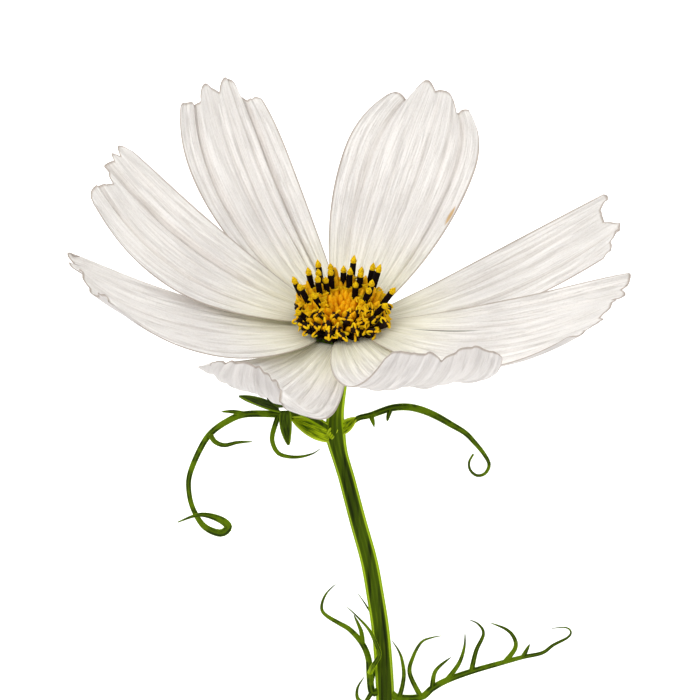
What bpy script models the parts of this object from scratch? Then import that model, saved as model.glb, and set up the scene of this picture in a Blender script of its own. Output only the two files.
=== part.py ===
"""Cosmos flower, as picked: a white head of eight petals on a ridged green stem.

It lies on its back, on the tips of its two rear petals and on the cut end of
its stem. Lengths below are in millimetres and angles in degrees; MM turns a
length into metres. +Y runs from the stem's cut end towards the head, +Z is up,
and the whole plant hangs from one empty, whose place puts the middle of the
plant over the origin and its lowest point on the surface.

The head has its own empty, whose +Z is the flower's axis. An azimuth of 0 on
the head points up and forwards, at the viewer, and grows towards +X.
"""

import math

import bmesh
import bpy
from mathutils import Matrix, Vector

MM = 0.001

# The head
HEAD_TILT = 30.0
RECEPTACLE_RADIUS = 4.8
RECEPTACLE_TOP = 0.8
RECEPTACLE_FOOT = -3.3
GAP = 0.35

# Petals
PETAL_LENGTH = 41.0
PETAL_WIDTH = 19.5
PETAL_CLAW_WIDTH = 2.6
PETAL_THICKNESS = 0.42
PETAL_RING_RADIUS = RECEPTACLE_RADIUS + GAP
PETAL_WIDEST = 0.70
PETAL_TIP_WIDTH = 0.60
PETAL_RIM_STARTS = 0.72
PETAL_ROWS = 13
PETAL_COLUMNS = 8

# Bracts under the petals
BRACT_THICKNESS = 0.36
OUTER_BRACT_LENGTH = 10.0
OUTER_BRACT_WIDTH = 2.2
INNER_BRACT_LENGTH = 8.0
INNER_BRACT_WIDTH = 3.6
OUTER_BRACT_FOOT = (3.9, -2.6)
INNER_BRACT_FOOT = (4.9, -1.3)
BRACT_ROWS = 5
BRACT_COLUMNS = 2

# Disc florets
OPEN_FLORETS = 16
FLORET_LENGTH = 7.8
FRONT_FLORET_LENGTH = 6.2
FLORET_RING_RADIUS = 4.2
FLORET_LEAN = 17.0
FRONT_FLORET_LEAN = 32.0
UNOPENED_RADIUS = 3.3
UNOPENED_TOP = 5.6

# Stem, measured from the head's centre
PEDICEL_RADIUS = 1.05
STEM_END_RADIUS = 1.4
UPPER_NODE = Vector((-1.0, -15.4, -8.6))
LOWER_NODE = Vector((6.4, -54.0, -18.6))
STEM_END = Vector((6.8, -72.0, -23.4))

THREAD_RADIUS = 0.42
THREAD_SPACING = 2.0


# Rims, from one margin of a petal to the other: (share of the width, out, up)
ROUND_RIM = (
    (-1, -3, 0),
    (-0.7, 0.2, 0),
    (-0.45, -0.6, 0),
    (-0.1, 0.6, 0),
    (0.2, -0.6, 0),
    (0.6, 0.2, 0),
    (1, -3, 0),
)
SHOULDERED_RIM = (
    (-1, -3.6, 0),
    (-0.7, -3.0, 0),
    (-0.3, 0.6, 0),
    (-0.05, -0.6, 0),
    (0.2, 0.8, 0),
    (0.5, -2.2, 0),
    (1, -2.6, 0),
)
SHORT_RIM = (
    (-1, -4.6, 0),
    (-0.6, -2.8, 0),
    (-0.1, -1.2, 0),
    (0.3, -1.8, 0),
    (0.9, -0.2, 0),
    (1, -0.6, 0),
)
FRONT_LEFT_RIM = (
    (-1, -0.2, 1.4),
    (-0.8, 1.4, 2.0),
    (-0.5, 0.6, 4.2),
    (-0.3, -0.6, 4.6),
    (0.1, -2.4, 4.2),
    (0.5, -2.6, 3.6),
    (0.8, -1.6, 1.6),
    (1, -3.4, 0.2),
)
CURLED_RIM = (
    (-1, -1.5, 0),
    (-0.75, -0.2, 0),
    (-0.3, -0.8, 0),
    (-0.05, -2.6, 0),
    (0.3, -1.4, 0),
    (0.75, -2.2, 0),
    (1, -4.2, 0),
)


def petal(azimuth, rise, bend, **changes):
    """What sets one petal apart from the next."""
    shape = {
        "azimuth": azimuth,
        "rise": rise,
        "bend": bend,
        "sweep": 0.0,
        "twist": 0.0,
        "cup": 1.2,
        "curl": 1.0,
        "bow": 0.0,
        "drift": 0.0,
        "lift": 0.0,
        "rim_starts": PETAL_RIM_STARTS,
        "length": PETAL_LENGTH,
        "width": PETAL_WIDTH,
        "tip_width": PETAL_TIP_WIDTH,
        "rim": ROUND_RIM,
    }
    shape.update(changes)
    return shape


# Clockwise from the front left, as the viewer sees them.
PETALS = (
    petal(-21, -5, 46, sweep=8, twist=-13, width=18.2, length=39.2, bow=-0.9, drift=-0.5,
          rim=FRONT_LEFT_RIM, rim_starts=0.5),
    petal(-64, 7, 43, twist=-2, width=21, length=38, curl=1.2, lift=0.6),
    petal(-108, 14, 32, sweep=6, twist=-6, width=17.8, length=36, tip_width=0.85, bow=1.8, drift=-1.8,
          lift=1.4),
    petal(-150, 17.5, 19.5, sweep=-3, twist=2, width=16.4, length=43, tip_width=0.82, bow=1.1, drift=-1.2,
          lift=0.5, rim=SHOULDERED_RIM),
    petal(160, 23.5, 10, width=20.6, length=41.5, tip_width=0.66, rim=SHOULDERED_RIM),
    petal(105, 6, 28, sweep=-6, width=16.6, length=39, tip_width=0.92, bow=-0.9, rim=SHORT_RIM),
    petal(64, 6.5, 26, sweep=-4, twist=8, width=18.5, length=39.8, tip_width=0.75, bow=-2.6, lift=1.2,
          rim=SHORT_RIM),
    petal(17.5, 2, 68, sweep=11, twist=-8, width=19.5, length=39, tip_width=0.88, cup=0.3, curl=1.8,
          bow=0.6, lift=1.1, rim=CURLED_RIM),
)


def clear_scene():
    for obj in list(bpy.data.objects):
        bpy.data.objects.remove(obj, do_unlink=True)


def finish(name, colour, roughness):
    material = bpy.data.materials.new(name)
    material.use_nodes = True
    shader = material.node_tree.nodes["Principled BSDF"]
    shader.inputs["Base Color"].default_value = (*colour, 1.0)
    shader.inputs["Roughness"].default_value = roughness
    shader.inputs["Metallic"].default_value = 0.0
    return material


def add_object(name, data, parent, material):
    obj = bpy.data.objects.new(name, data)
    bpy.data.collections["cosmos_flower"].objects.link(obj)
    obj.parent = parent
    data.materials.append(material)
    return obj


def add_empty(name, parent=None):
    empty = bpy.data.objects.new(name, None)
    empty.empty_display_size = 5 * MM
    bpy.data.collections["cosmos_flower"].objects.link(empty)
    empty.parent = parent
    return empty


def smooth_step(x):
    x = min(max(x, 0.0), 1.0)
    return x * x * (3 - 2 * x)


# Petals and bracts: a flat blade, bent along its middle line


def petal_half_width(shape, u):
    """Half the width at u, from a narrow claw to a broad shoulder and a blunt tip."""
    claw = PETAL_CLAW_WIDTH / 2
    full = shape["width"] / 2
    if u < PETAL_WIDEST:
        return claw + (full - claw) * math.sin(math.pi / 2 * u / PETAL_WIDEST)
    t = (u - PETAL_WIDEST) / (1 - PETAL_WIDEST)
    return full * math.sqrt(1 - (1 - shape["tip_width"]**2) * t * t)


def petal_rim(shape, v):
    """(out, up): how far the rim stands out and turns up at v, read smoothly between its points."""
    for (v0, out0, up0), (v1, out1, up1) in zip(shape["rim"], shape["rim"][1:]):
        if v <= v1 + 1e-6:
            break
    t = smooth_step((v - v0) / (v1 - v0))
    return out0 + (out1 - out0) * t, up0 + (up1 - up0) * t


def middle_line(shape, rows):
    """(place, along, across, up) at each row of a blade, from its base outwards."""
    place = Vector((0.0, 0.0, 0.0))
    step = shape["length"] / rows
    line = []
    for row in range(rows + 1):
        u = row / rows
        pitch = math.radians(shape["rise"] + shape["bend"] * u ** shape["curl"])
        yaw = math.radians(shape["sweep"] * u)
        flat = Vector((math.cos(yaw), math.sin(yaw), 0.0))
        along = flat * math.cos(pitch) + Vector((0.0, 0.0, math.sin(pitch)))
        across = Vector((-math.sin(yaw), math.cos(yaw), 0.0))
        roll = Matrix.Rotation(math.radians(shape["twist"] * smooth_step(2 * u)), 3, along)
        if row:
            place = place + along * step
        line.append((place.copy(), along, roll @ across, roll @ along.cross(across)))
    return line


def blade(name, shape, half_width, rim, rows, columns, thickness, parent, material):
    """A closed leaf of even thickness. It grows along its object's +X."""
    line = middle_line(shape, rows)
    bm = bmesh.new()
    bmesh.ops.create_grid(bm, x_segments=rows, y_segments=columns, size=1.0)
    for vert in bm.verts:
        u = (vert.co.x + 1) / 2
        v = vert.co.y
        place, along, across, up = line[round(u * rows)]
        aside = v * half_width(shape, u)
        aside += shape["bow"] * math.sin(math.pi * u) + shape["drift"] * u**3
        height = shape["cup"] * v * v * math.sin(math.pi * 0.8 * u)
        out, turned_up = rim(shape, v)
        near_rim = max(0.0, (u - shape["rim_starts"]) / (1 - shape["rim_starts"]))
        height += turned_up * near_rim**2
        vert.co = (place + across * aside + up * height + along * (out * u**3)) * MM
    mesh = bpy.data.meshes.new(name)
    bm.to_mesh(mesh)
    bm.free()
    mesh.shade_smooth()
    obj = add_object(name, mesh, parent, material)
    wall = obj.modifiers.new("thickness", "SOLIDIFY")
    wall.thickness = thickness * MM
    wall.offset = 0.0
    return obj


def place_round_head(obj, azimuth, radius, height):
    """Turns a piece that grows along +X outwards, at its azimuth on the head."""
    turn = math.radians(azimuth)
    obj.location = (radius * MM * math.sin(turn), -radius * MM * math.cos(turn), height * MM)
    obj.rotation_euler = (0.0, 0.0, turn - math.pi / 2)


def make_petals(head, material):
    for number, shape in enumerate(PETALS, 1):
        obj = blade(f"petal_{number}", shape, petal_half_width, petal_rim, PETAL_ROWS,
                    PETAL_COLUMNS, PETAL_THICKNESS, head, material)
        place_round_head(obj, shape["azimuth"], PETAL_RING_RADIUS, shape["lift"])


def bract_half_width(shape, u):
    """Lance shape: broadest a third of the way up, drawn out to a point."""
    return shape["width"] / 2 * (0.12 + 0.88 * math.sin(math.pi * (0.22 + 0.78 * u) ** 0.9) ** 0.8)


def bract_rim(shape, v):
    return 0.0, 0.0


def bract(rise, bend, length, width):
    return {
        "rise": rise,
        "bend": bend,
        "sweep": 0.0,
        "twist": 0.0,
        "cup": 0.3,
        "curl": 1.0,
        "bow": 0.0,
        "drift": 0.0,
        "rim_starts": 0.0,
        "length": length,
        "width": width,
    }


def make_bracts(head, outer_material, inner_material):
    """One narrow outer bract below each petal, one broad inner bract below each space between two."""
    for number, shape in enumerate(PETALS, 1):
        following = PETALS[number % len(PETALS)]
        azimuth = shape["azimuth"]
        between = azimuth - ((azimuth - following["azimuth"]) % 360) / 2
        outer = bract(shape["rise"] - 5, 10, OUTER_BRACT_LENGTH, OUTER_BRACT_WIDTH)
        obj = blade(f"outer_bract_{number}", outer, bract_half_width, bract_rim, BRACT_ROWS,
                    BRACT_COLUMNS, BRACT_THICKNESS, head, outer_material)
        place_round_head(obj, azimuth, *OUTER_BRACT_FOOT)
        inner_rise = min(shape["rise"], following["rise"]) - 5
        inner = bract(inner_rise, 6, INNER_BRACT_LENGTH, INNER_BRACT_WIDTH)
        obj = blade(f"inner_bract_{number}", inner, bract_half_width, bract_rim, BRACT_ROWS,
                    BRACT_COLUMNS, BRACT_THICKNESS, head, inner_material)
        place_round_head(obj, between, *INNER_BRACT_FOOT)


# The head's middle


def turned(name, profile, sides, parent, material):
    """A solid of revolution about its own Z, from (radius, height) points, top to bottom."""
    bm = bmesh.new()
    corners = [bm.verts.new((radius * MM, 0.0, height * MM)) for radius, height in profile]
    for upper, lower in zip(corners, corners[1:]):
        bm.edges.new((upper, lower))
    mesh = bpy.data.meshes.new(name)
    bm.to_mesh(mesh)
    bm.free()
    obj = add_object(name, mesh, parent, material)
    spin = obj.modifiers.new("turn", "SCREW")
    spin.steps = sides
    spin.render_steps = sides
    spin.use_merge_vertices = True
    spin.merge_threshold = 0.00001
    spin.use_smooth_shade = True
    return obj


def make_receptacle(head, material):
    profile = (
        (0.0, RECEPTACLE_TOP),
        (3.6, RECEPTACLE_TOP - 0.15),
        (RECEPTACLE_RADIUS, 0.3),
        (RECEPTACLE_RADIUS, -0.6),
        (4.3, -1.4),
        (3.4, -2.3),
        (1.8, -2.9),
        (PEDICEL_RADIUS, RECEPTACLE_FOOT),
        (0.0, RECEPTACLE_FOOT),
    )
    turned("receptacle", profile, 24, head, material)


def make_unopened_florets(head, material):
    foot = RECEPTACLE_TOP + GAP
    profile = (
        (0.0, UNOPENED_TOP),
        (1.7, UNOPENED_TOP - 0.2),
        (2.8, UNOPENED_TOP - 0.9),
        (UNOPENED_RADIUS, UNOPENED_TOP - 2.0),
        (UNOPENED_RADIUS - 0.3, foot),
        (0.0, foot),
    )
    turned("unopened_florets", profile, 16, head, material)


def make_open_florets(head, material):
    """A ring of florets, those towards the front shorter and leaning out the most."""
    foot = RECEPTACLE_TOP + GAP
    for number in range(1, OPEN_FLORETS + 1):
        azimuth = 360 / OPEN_FLORETS * (number - 0.5)
        front = smooth_step(0.25 + 0.75 * math.cos(math.radians(azimuth)))
        length = FLORET_LENGTH + (FRONT_FLORET_LENGTH - FLORET_LENGTH) * front
        profile = (
            (0.0, length),
            (0.45, length - 0.6),
            (0.36, length - 2.6),
            (0.65, length - 3.2),
            (0.42, 2.0),
            (0.34, 0.0),
            (0.0, 0.0),
        )
        obj = turned(f"open_floret_{number:02d}", profile, 6, head, material)
        place_round_head(obj, azimuth, FLORET_RING_RADIUS, foot)
        obj.rotation_euler.y = math.radians(FLORET_LEAN + (FRONT_FLORET_LEAN - FLORET_LEAN) * front)


# Stem and leaves: round threads along smooth routes


def smooth_route(points, spacing):
    """The route's points, with more read from a smooth curve between them."""
    points = [Vector(point) for point in points]
    route = [points[0]]
    for i in range(len(points) - 1):
        before = points[max(i - 1, 0)]
        start, end = points[i], points[i + 1]
        after = points[min(i + 2, len(points) - 1)]
        count = max(1, round((end - start).length / spacing))
        for k in range(1, count + 1):
            t = k / count
            route.append(0.5 * (2 * start + (end - before) * t
                                + (2 * before - 5 * start + 4 * end - after) * t * t
                                + (3 * start - before - 3 * end + after) * t**3))
    return route


def round_tube(name, points, radius_at, spacing, resolution):
    """An unlinked curve along a smooth route, its radius given by the share of the way along."""
    curve = bpy.data.curves.new(name, "CURVE")
    curve.dimensions = "3D"
    curve.bevel_depth = MM
    curve.bevel_resolution = resolution
    curve.use_fill_caps = True
    route = smooth_route(points, spacing)
    spline = curve.splines.new("POLY")
    spline.points.add(len(route) - 1)
    for i, place in enumerate(route):
        spline.points[i].co = (*(place * MM), 1.0)
        spline.points[i].radius = radius_at(i / (len(route) - 1))
    return bpy.data.objects.new(name, curve)


def tube(name, points, radius_at, spacing, parent, material):
    obj = round_tube(name, points, radius_at, spacing, 2)
    bpy.data.collections["cosmos_flower"].objects.link(obj)
    obj.data.materials.append(material)
    obj.parent = parent
    return obj


def head_axis():
    tilt = math.radians(HEAD_TILT)
    return Vector((0.0, math.cos(tilt), math.sin(tilt)))


def make_stem(plant, material):
    axis = head_axis()
    points = (
        axis * (RECEPTACLE_FOOT - GAP),
        axis * -9.0 + Vector((-0.4, 0.0, 0.0)),
        UPPER_NODE,
        (0.8, -22.6, -10.2),
        (2.3, -28.4, -11.6),
        (3.9, -34.2, -13.2),
        (4.8, -39.0, -14.4),
        (5.8, -45.8, -16.3),
        LOWER_NODE,
        (6.6, -62.0, -20.7),
        STEM_END,
    )

    def radius_at(share):
        swelling = 0.25 * math.exp(-(((share - 0.2) / 0.03) ** 2))
        return PEDICEL_RADIUS + (STEM_END_RADIUS - PEDICEL_RADIUS) * share + swelling

    tube("stem", points, radius_at, 2.6, plant, material)


def solid_tube(name, points, radius_at, spacing, collection):
    """A tube of six sides as a closed mesh, so that others can be joined to it."""
    curve_obj = round_tube(name, points, radius_at, spacing, 1)
    bpy.context.scene.collection.objects.link(curve_obj)
    graph = bpy.context.evaluated_depsgraph_get()
    mesh = bpy.data.meshes.new_from_object(curve_obj.evaluated_get(graph))
    mesh.name = name
    bpy.data.objects.remove(curve_obj, do_unlink=True)
    bm = bmesh.new()
    bm.from_mesh(mesh)
    bmesh.ops.remove_doubles(bm, verts=bm.verts, dist=0.00001)
    bm.to_mesh(mesh)
    bm.free()
    mesh.materials.clear()
    obj = bpy.data.objects.new(name, mesh)
    collection.objects.link(obj)
    return obj


def thread_leaf(name, base, branches, parent, material):
    """A leaf of round threads. Each thread after the first starts inside an earlier one."""
    threads = bpy.data.collections.new(f"{name}_threads")
    bpy.context.scene.collection.children.link(threads)
    threads.hide_render = True

    def radius_at(share):
        return THREAD_RADIUS * (1 - 0.45 * share)

    flower = bpy.data.collections["cosmos_flower"]
    leaf = solid_tube(name, branches[0], radius_at, THREAD_SPACING, flower)
    leaf.data.materials.append(material)
    leaf.parent = parent
    leaf.location = base * MM
    for number, branch in enumerate(branches[1:], 1):
        thread = solid_tube(f"{name}_thread_{number}", branch, radius_at, THREAD_SPACING, threads)
        thread.parent = leaf
        thread.hide_render = True
        thread.display_type = "WIRE"
    joined = leaf.modifiers.new("joined threads", "BOOLEAN")
    joined.operation = "UNION"
    joined.operand_type = "COLLECTION"
    joined.collection = threads
    return leaf


# Threads of each leaf, from the stem's node that bears it.

UPPER_LEFT_LEAF = (
    ((-1.9, 0.7, 0.2), (-6.2, 2.6, 0.6), (-8.3, 2.8, 0.6), (-13.2, 2.8, 0.8), (-16.0, 1.7, 0.8),
     (-18.4, -0.1, 0.6), (-20.0, -2.6, 0.2), (-21.4, -6.0, -0.5), (-21.6, -8.5, -1.2),
     (-21.0, -11.2, -1.8), (-19.4, -13.8, -2.2), (-17.0, -14.8, -2.0), (-15.8, -13.8, -1.2),
     (-17.2, -12.6, -0.6), (-20.0, -12.0, -0.3), (-23.2, -13.1, -0.4)),
    ((-18.4, -0.1, 0.6), (-17.6, -1.2, 1.6), (-16.2, -1.7, 1.8), (-14.3, -1.3, 1.6), (-12.1, -1.2, 1.2)),
    ((-8.3, 2.8, 0.6), (-9.2, -0.1, 1.4), (-9.1, -1.6, 1.6), (-8.3, -2.9, 1.6), (-6.8, -3.4, 1.4),
     (-5.0, -3.4, 1.2), (-3.2, -2.9, 1.2), (-2.2, -2.2, 1.8)),
    ((-13.2, 2.8, 0.8), (-15.0, 3.2, 1.6), (-16.7, 3.2, 2.0)),
)

UPPER_RIGHT_LEAF = (
    ((1.7, 0.9, 0.2), (3.3, 2.2, 0.8), (5.2, 2.7, 1.2), (8.1, 3.7, 1.6), (10.4, 3.9, 1.8),
     (12.5, 3.5, 1.8), (14.7, 2.6, 1.6), (17.0, 1.3, 1.2), (19.0, 0.1, 0.8), (20.4, -1.3, 0.4),
     (21.8, -3.0, 0.0), (22.6, -4.6, -0.2), (22.0, -5.9, 0.0), (20.8, -6.2, 0.4), (19.8, -5.4, 0.9),
     (19.6, -4.2, 1.3), (20.2, -3.0, 1.8)),
    ((5.2, 2.7, 1.2), (5.6, 1.4, 1.4), (5.7, 0.9, 1.5)),
    ((8.1, 3.7, 1.6), (7.7, 2.4, 1.9), (7.6, 1.8, 2.0)),
)

LOWER_LEFT_LEAF = (
    ((-1.9, -0.6, 0.4), (-2.3, 2.2, 0.5), (-2.5, 4.6, 0.8), (-3.4, 6.8, 1.4), (-5.2, 8.9, 1.8),
     (-7.0, 10.0, 2.0), (-8.5, 10.9, 2.2), (-9.4, 11.8, 2.4), (-9.4, 13.1, 2.8), (-8.7, 14.6, 3.2),
     (-7.4, 15.9, 3.6)),
    ((-2.3, 2.2, 0.5), (-1.8, 3.6, 2.8), (-0.9, 5.4, 3.9), (-1.4, 7.1, 4.4), (-2.4, 9.2, 4.8),
     (-4.2, 11.2, 4.8), (-5.7, 12.6, 4.6)),
    ((-3.4, 6.8, 1.4), (-3.6, 8.8, 2.2), (-4.7, 11.3, 2.8)),
    ((-1.9, -0.6, 0.4), (-3.0, -2.0, 0.8), (-4.1, -1.4, 1.4), (-4.1, 0.3, 2.0), (-3.1, 2.0, 2.6)),
    ((-1.9, -0.6, 0.4), (-2.0, 0.8, -1.5), (-1.0, 5.5, -1.7), (-1.6, 10.0, -1.0), (-2.7, 12.2, -0.4),
     (-4.1, 14.3, 0.2)),
)

LOWER_RIGHT_LEAF = (
    ((2.0, -1.4, 0.4), (5.4, -1.3, 0.4), (7.1, 0.0, 0.4), (9.3, 1.2, 0.3), (13.0, 2.5, 0.0),
     (18.1, 3.9, -0.4), (20.8, 4.6, -0.6), (23.7, 5.2, -0.8), (25.4, 6.4, -0.8), (27.5, 7.5, -0.7),
     (28.0, 8.4, -0.4), (27.2, 9.1, 0.0), (25.0, 9.0, 0.4)),
    ((9.3, 1.2, 0.3), (11.1, 3.8, 0.9), (11.9, 6.3, 1.2), (12.0, 8.4, 1.2)),
    ((13.0, 2.5, 0.0), (13.7, 5.6, 0.3), (14.8, 8.2, 0.6), (14.0, 9.7, 0.9), (12.6, 10.4, 1.2)),
    ((18.1, 3.9, -0.4), (19.6, 6.0, 0.0), (19.4, 7.6, 0.4), (18.2, 8.9, 0.7), (15.8, 9.9, 0.9)),
    ((20.8, 4.6, -0.6), (21.8, 6.6, -0.2)),
    ((7.1, 0.0, 0.4), (7.6, 2.7, 1.0), (9.9, 4.8, 1.4)),
    ((5.4, -1.3, 0.4), (3.7, 2.4, 1.8), (4.2, 5.0, 2.6), (5.4, 7.2, 3.2), (6.9, 7.9, 3.4),
     (8.5, 8.2, 3.4)),
    ((2.0, -1.4, 0.4), (2.8, 1.8, 1.8), (2.5, 4.6, 3.2), (1.9, 6.2, 4.2), (1.0, 7.6, 5.0)),
)


def make_leaves(plant, material):
    thread_leaf("upper_left_leaf", UPPER_NODE, UPPER_LEFT_LEAF, plant, material)
    thread_leaf("upper_right_leaf", UPPER_NODE, UPPER_RIGHT_LEAF, plant, material)
    thread_leaf("lower_left_leaf", LOWER_NODE, LOWER_LEFT_LEAF, plant, material)
    thread_leaf("lower_right_leaf", LOWER_NODE, LOWER_RIGHT_LEAF, plant, material)


# The bud on its side stalk

BUD_BASE = Vector((-7.9, -10.9, -4.6))
BUD_LENGTH = 6.0
BUD_RADIUS = 2.4
BUD_STALK_RADIUS = 0.55
BUD_BRACT_RING_RADIUS = 1.7

# azimuth round the bud, rise, bend, length, width: one stands up like a boat, one hangs
BUD_BRACTS = (
    (30, 5, 20, 4.5, 1.6),
    (90, 42, 10, 6.4, 2.4),
    (155, -45, -10, 5.0, 2.0),
    (210, 5, 20, 4.5, 1.6),
    (270, 0, 20, 4.0, 1.5),
    (330, 0, 20, 4.5, 1.6),
)


def make_bud(plant, stalk_material, bract_material):
    start = UPPER_NODE + Vector((-1.6, 1.35, 1.15))
    middle = UPPER_NODE + Vector((-4.6, 3.0, 2.6))
    bud = add_empty("bud", plant)
    bud.location = BUD_BASE * MM
    direction = Vector((-0.35, 0.75, 0.55)).normalized()
    bud.rotation_euler = direction.to_track_quat("Z", "Y").to_euler()
    foot = BUD_BASE - direction * (GAP + 0.2)

    def radius_at(share):
        return BUD_STALK_RADIUS - 0.05 * share

    tube("bud_stalk", (start, middle, foot), radius_at, 1.2, plant, stalk_material)
    profile = (
        (0.0, BUD_LENGTH),
        (1.0, BUD_LENGTH - 0.5),
        (2.0, BUD_LENGTH - 1.8),
        (BUD_RADIUS, 2.4),
        (2.0, 0.9),
        (0.9, 0.0),
        (0.0, 0.0),
    )
    turned("bud_head", profile, 16, bud, stalk_material)
    for number, (azimuth, *measures) in enumerate(BUD_BRACTS, 1):
        obj = blade(f"bud_bract_{number}", bract(*measures), bract_half_width, bract_rim, 4, 2,
                    BRACT_THICKNESS, bud, bract_material)
        place_round_head(obj, azimuth, BUD_BRACT_RING_RADIUS, -0.1)


def rest_on_surface(plant):
    """Moves the plant so that its box stands on the origin."""
    bpy.context.view_layer.update()
    graph = bpy.context.evaluated_depsgraph_get()
    corners = []
    for obj in bpy.data.collections["cosmos_flower"].objects:
        if obj.type == "EMPTY":
            continue
        shape = obj.evaluated_get(graph)
        mesh = shape.to_mesh()
        corners += [shape.matrix_world @ vert.co for vert in mesh.vertices]
        shape.to_mesh_clear()
    low = [min(corner[axis] for corner in corners) for axis in range(3)]
    high = [max(corner[axis] for corner in corners) for axis in range(3)]
    plant.location = (-(low[0] + high[0]) / 2, -(low[1] + high[1]) / 2, -low[2])


def main():
    clear_scene()
    bpy.context.scene.collection.children.link(bpy.data.collections.new("cosmos_flower"))
    white = finish("petal_white", (0.84, 0.82, 0.79), 0.6)
    green = finish("stem_green", (0.10, 0.19, 0.03), 0.5)
    bract_green = finish("bract_green", (0.12, 0.18, 0.06), 0.6)
    pale_green = finish("inner_bract_green", (0.42, 0.46, 0.22), 0.6)
    orange = finish("floret_orange", (0.85, 0.42, 0.02), 0.6)
    dark = finish("anther_brown", (0.09, 0.04, 0.02), 0.6)
    plant = add_empty("plant")
    head = add_empty("head", plant)
    head.rotation_euler = (math.radians(HEAD_TILT - 90), 0.0, 0.0)
    make_receptacle(head, green)
    make_petals(head, white)
    make_bracts(head, bract_green, pale_green)
    make_unopened_florets(head, orange)
    make_open_florets(head, dark)
    make_stem(plant, green)
    make_leaves(plant, green)
    make_bud(plant, green, bract_green)
    rest_on_surface(plant)


main()
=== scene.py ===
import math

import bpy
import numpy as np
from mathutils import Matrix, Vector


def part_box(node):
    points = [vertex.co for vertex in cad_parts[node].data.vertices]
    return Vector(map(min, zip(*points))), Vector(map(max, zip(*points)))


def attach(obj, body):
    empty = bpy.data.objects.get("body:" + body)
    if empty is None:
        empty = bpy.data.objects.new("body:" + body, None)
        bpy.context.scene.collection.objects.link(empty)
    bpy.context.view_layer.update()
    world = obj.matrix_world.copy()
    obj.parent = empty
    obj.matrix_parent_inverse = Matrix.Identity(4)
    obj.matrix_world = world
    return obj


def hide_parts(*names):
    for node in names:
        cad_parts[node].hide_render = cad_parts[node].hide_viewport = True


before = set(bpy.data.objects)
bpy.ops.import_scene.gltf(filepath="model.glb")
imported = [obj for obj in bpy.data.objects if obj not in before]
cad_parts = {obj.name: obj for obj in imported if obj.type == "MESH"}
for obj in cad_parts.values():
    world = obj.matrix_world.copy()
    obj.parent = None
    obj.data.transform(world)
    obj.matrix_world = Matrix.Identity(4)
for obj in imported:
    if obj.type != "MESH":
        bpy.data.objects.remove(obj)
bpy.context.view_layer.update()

# Looks of the cosmos flower: pleated white petals round a disc of orange, black
# and yellow florets, on a ribbed green stem with curling thread leaves.
#
# Lengths are in millimetres and angles in degrees until MM turns them into
# metres. The head has its own frame, whose +Z is the flower's axis. An azimuth
# of 0 on the head points up and back over the stem, and grows towards +X. That
# side of the head is its front, because it faces the viewer from above.

MM = 0.001

# The head, as the CAD holds it
HEAD_TILT = 30.0
RECEPTACLE_RADIUS = 4.8
RECEPTACLE_SHOULDER = 0.3
RECEPTACLE_TOP = 0.8
RECEPTACLE_FOOT = -3.3
GAP = 0.35
PETAL_RING_RADIUS = RECEPTACLE_RADIUS + GAP

# Petals
PETAL_LENGTH = 41.0
PETAL_WIDTH = 19.5
PETAL_CLAW_WIDTH = 4.8
PETAL_OPENING = 0.76
PETAL_WIDEST = 0.70
PETAL_TIP_WIDTH = 0.60
PETAL_RIM_STARTS = 0.72
PETAL_THICKNESS = 0.26
PETAL_ROWS = 84
PETAL_COLUMNS = 96
PLEATS = 9

# Bracts. A foot is (radius, height) on the head.
BRACT_DROP = 5.0
BRACT_THICKNESS = 0.3
BRACT_ROWS = 24
BRACT_COLUMNS = 12
OUTER_BRACT_LENGTH = 10.0
OUTER_BRACT_WIDTH = 2.2
OUTER_BRACT_FOOT = (3.9, -2.6)
INNER_BRACT_LENGTH = 8.0
INNER_BRACT_WIDTH = 3.6
INNER_BRACT_FOOT = (4.9, -1.3)
BUD_BRACT_RING_RADIUS = 1.6
BUD_SIDES = 64
BUD_LOBES = 8

# Disc florets
FLORETS = 42
DISC_RADIUS = 4.4
DISC_DOME = 0.5
FLORET_FOOT = RECEPTACLE_TOP + 0.1
BUDS_WITHIN = 1.6
GOLDEN_ANGLE = 137.508

# Stem and leaves, measured from the head's centre
UPPER_NODE = Vector((-1.0, -15.4, -8.6))
LOWER_NODE = Vector((6.4, -54.0, -18.6))
STEM_END = Vector((6.8, -72.0, -23.4))
PEDICEL_RADIUS = 1.05
STEM_END_RADIUS = 1.4
THREAD_RADIUS = 0.52
LEAF_FOOT_DEPTH = 0.3
ROUTE_SPACING = 0.4
STEM_SPACING = 0.7

# Stage and view
FLOOR_REACH = 900.0
FLOOR_GLOW = 0.6
ROOM_LIGHT = 0.68
CAMERA_HEIGHT = 420.0
CAMERA_LENS = 150.0
CAMERA_ASIDE = (1.15, -3.17)


def head_place():
    """The head's centre, from the receptacle's box: its shoulder sets the box's highest corner."""
    low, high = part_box("receptacle")
    tilt = math.radians(HEAD_TILT)
    across, above = RECEPTACLE_RADIUS * MM, RECEPTACLE_SHOULDER * MM
    return Vector((
        (low.x + high.x) / 2,
        high.y - above * math.cos(tilt) - across * math.sin(tilt),
        high.z - above * math.sin(tilt) - across * math.cos(tilt),
    ))


HEAD = head_place()
HEAD_FRAME = Matrix.Translation(HEAD) @ Matrix.Rotation(math.radians(HEAD_TILT - 90), 4, "X")
PLANT_FRAME = Matrix.Translation(HEAD)


# Making and keeping pieces


def keep(obj, slot, *nodes):
    """Hands a finished piece over: it rides on the flower and stands for these CAD nodes."""
    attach(obj, "root")
    if nodes:
        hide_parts(*nodes)
    return obj


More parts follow.
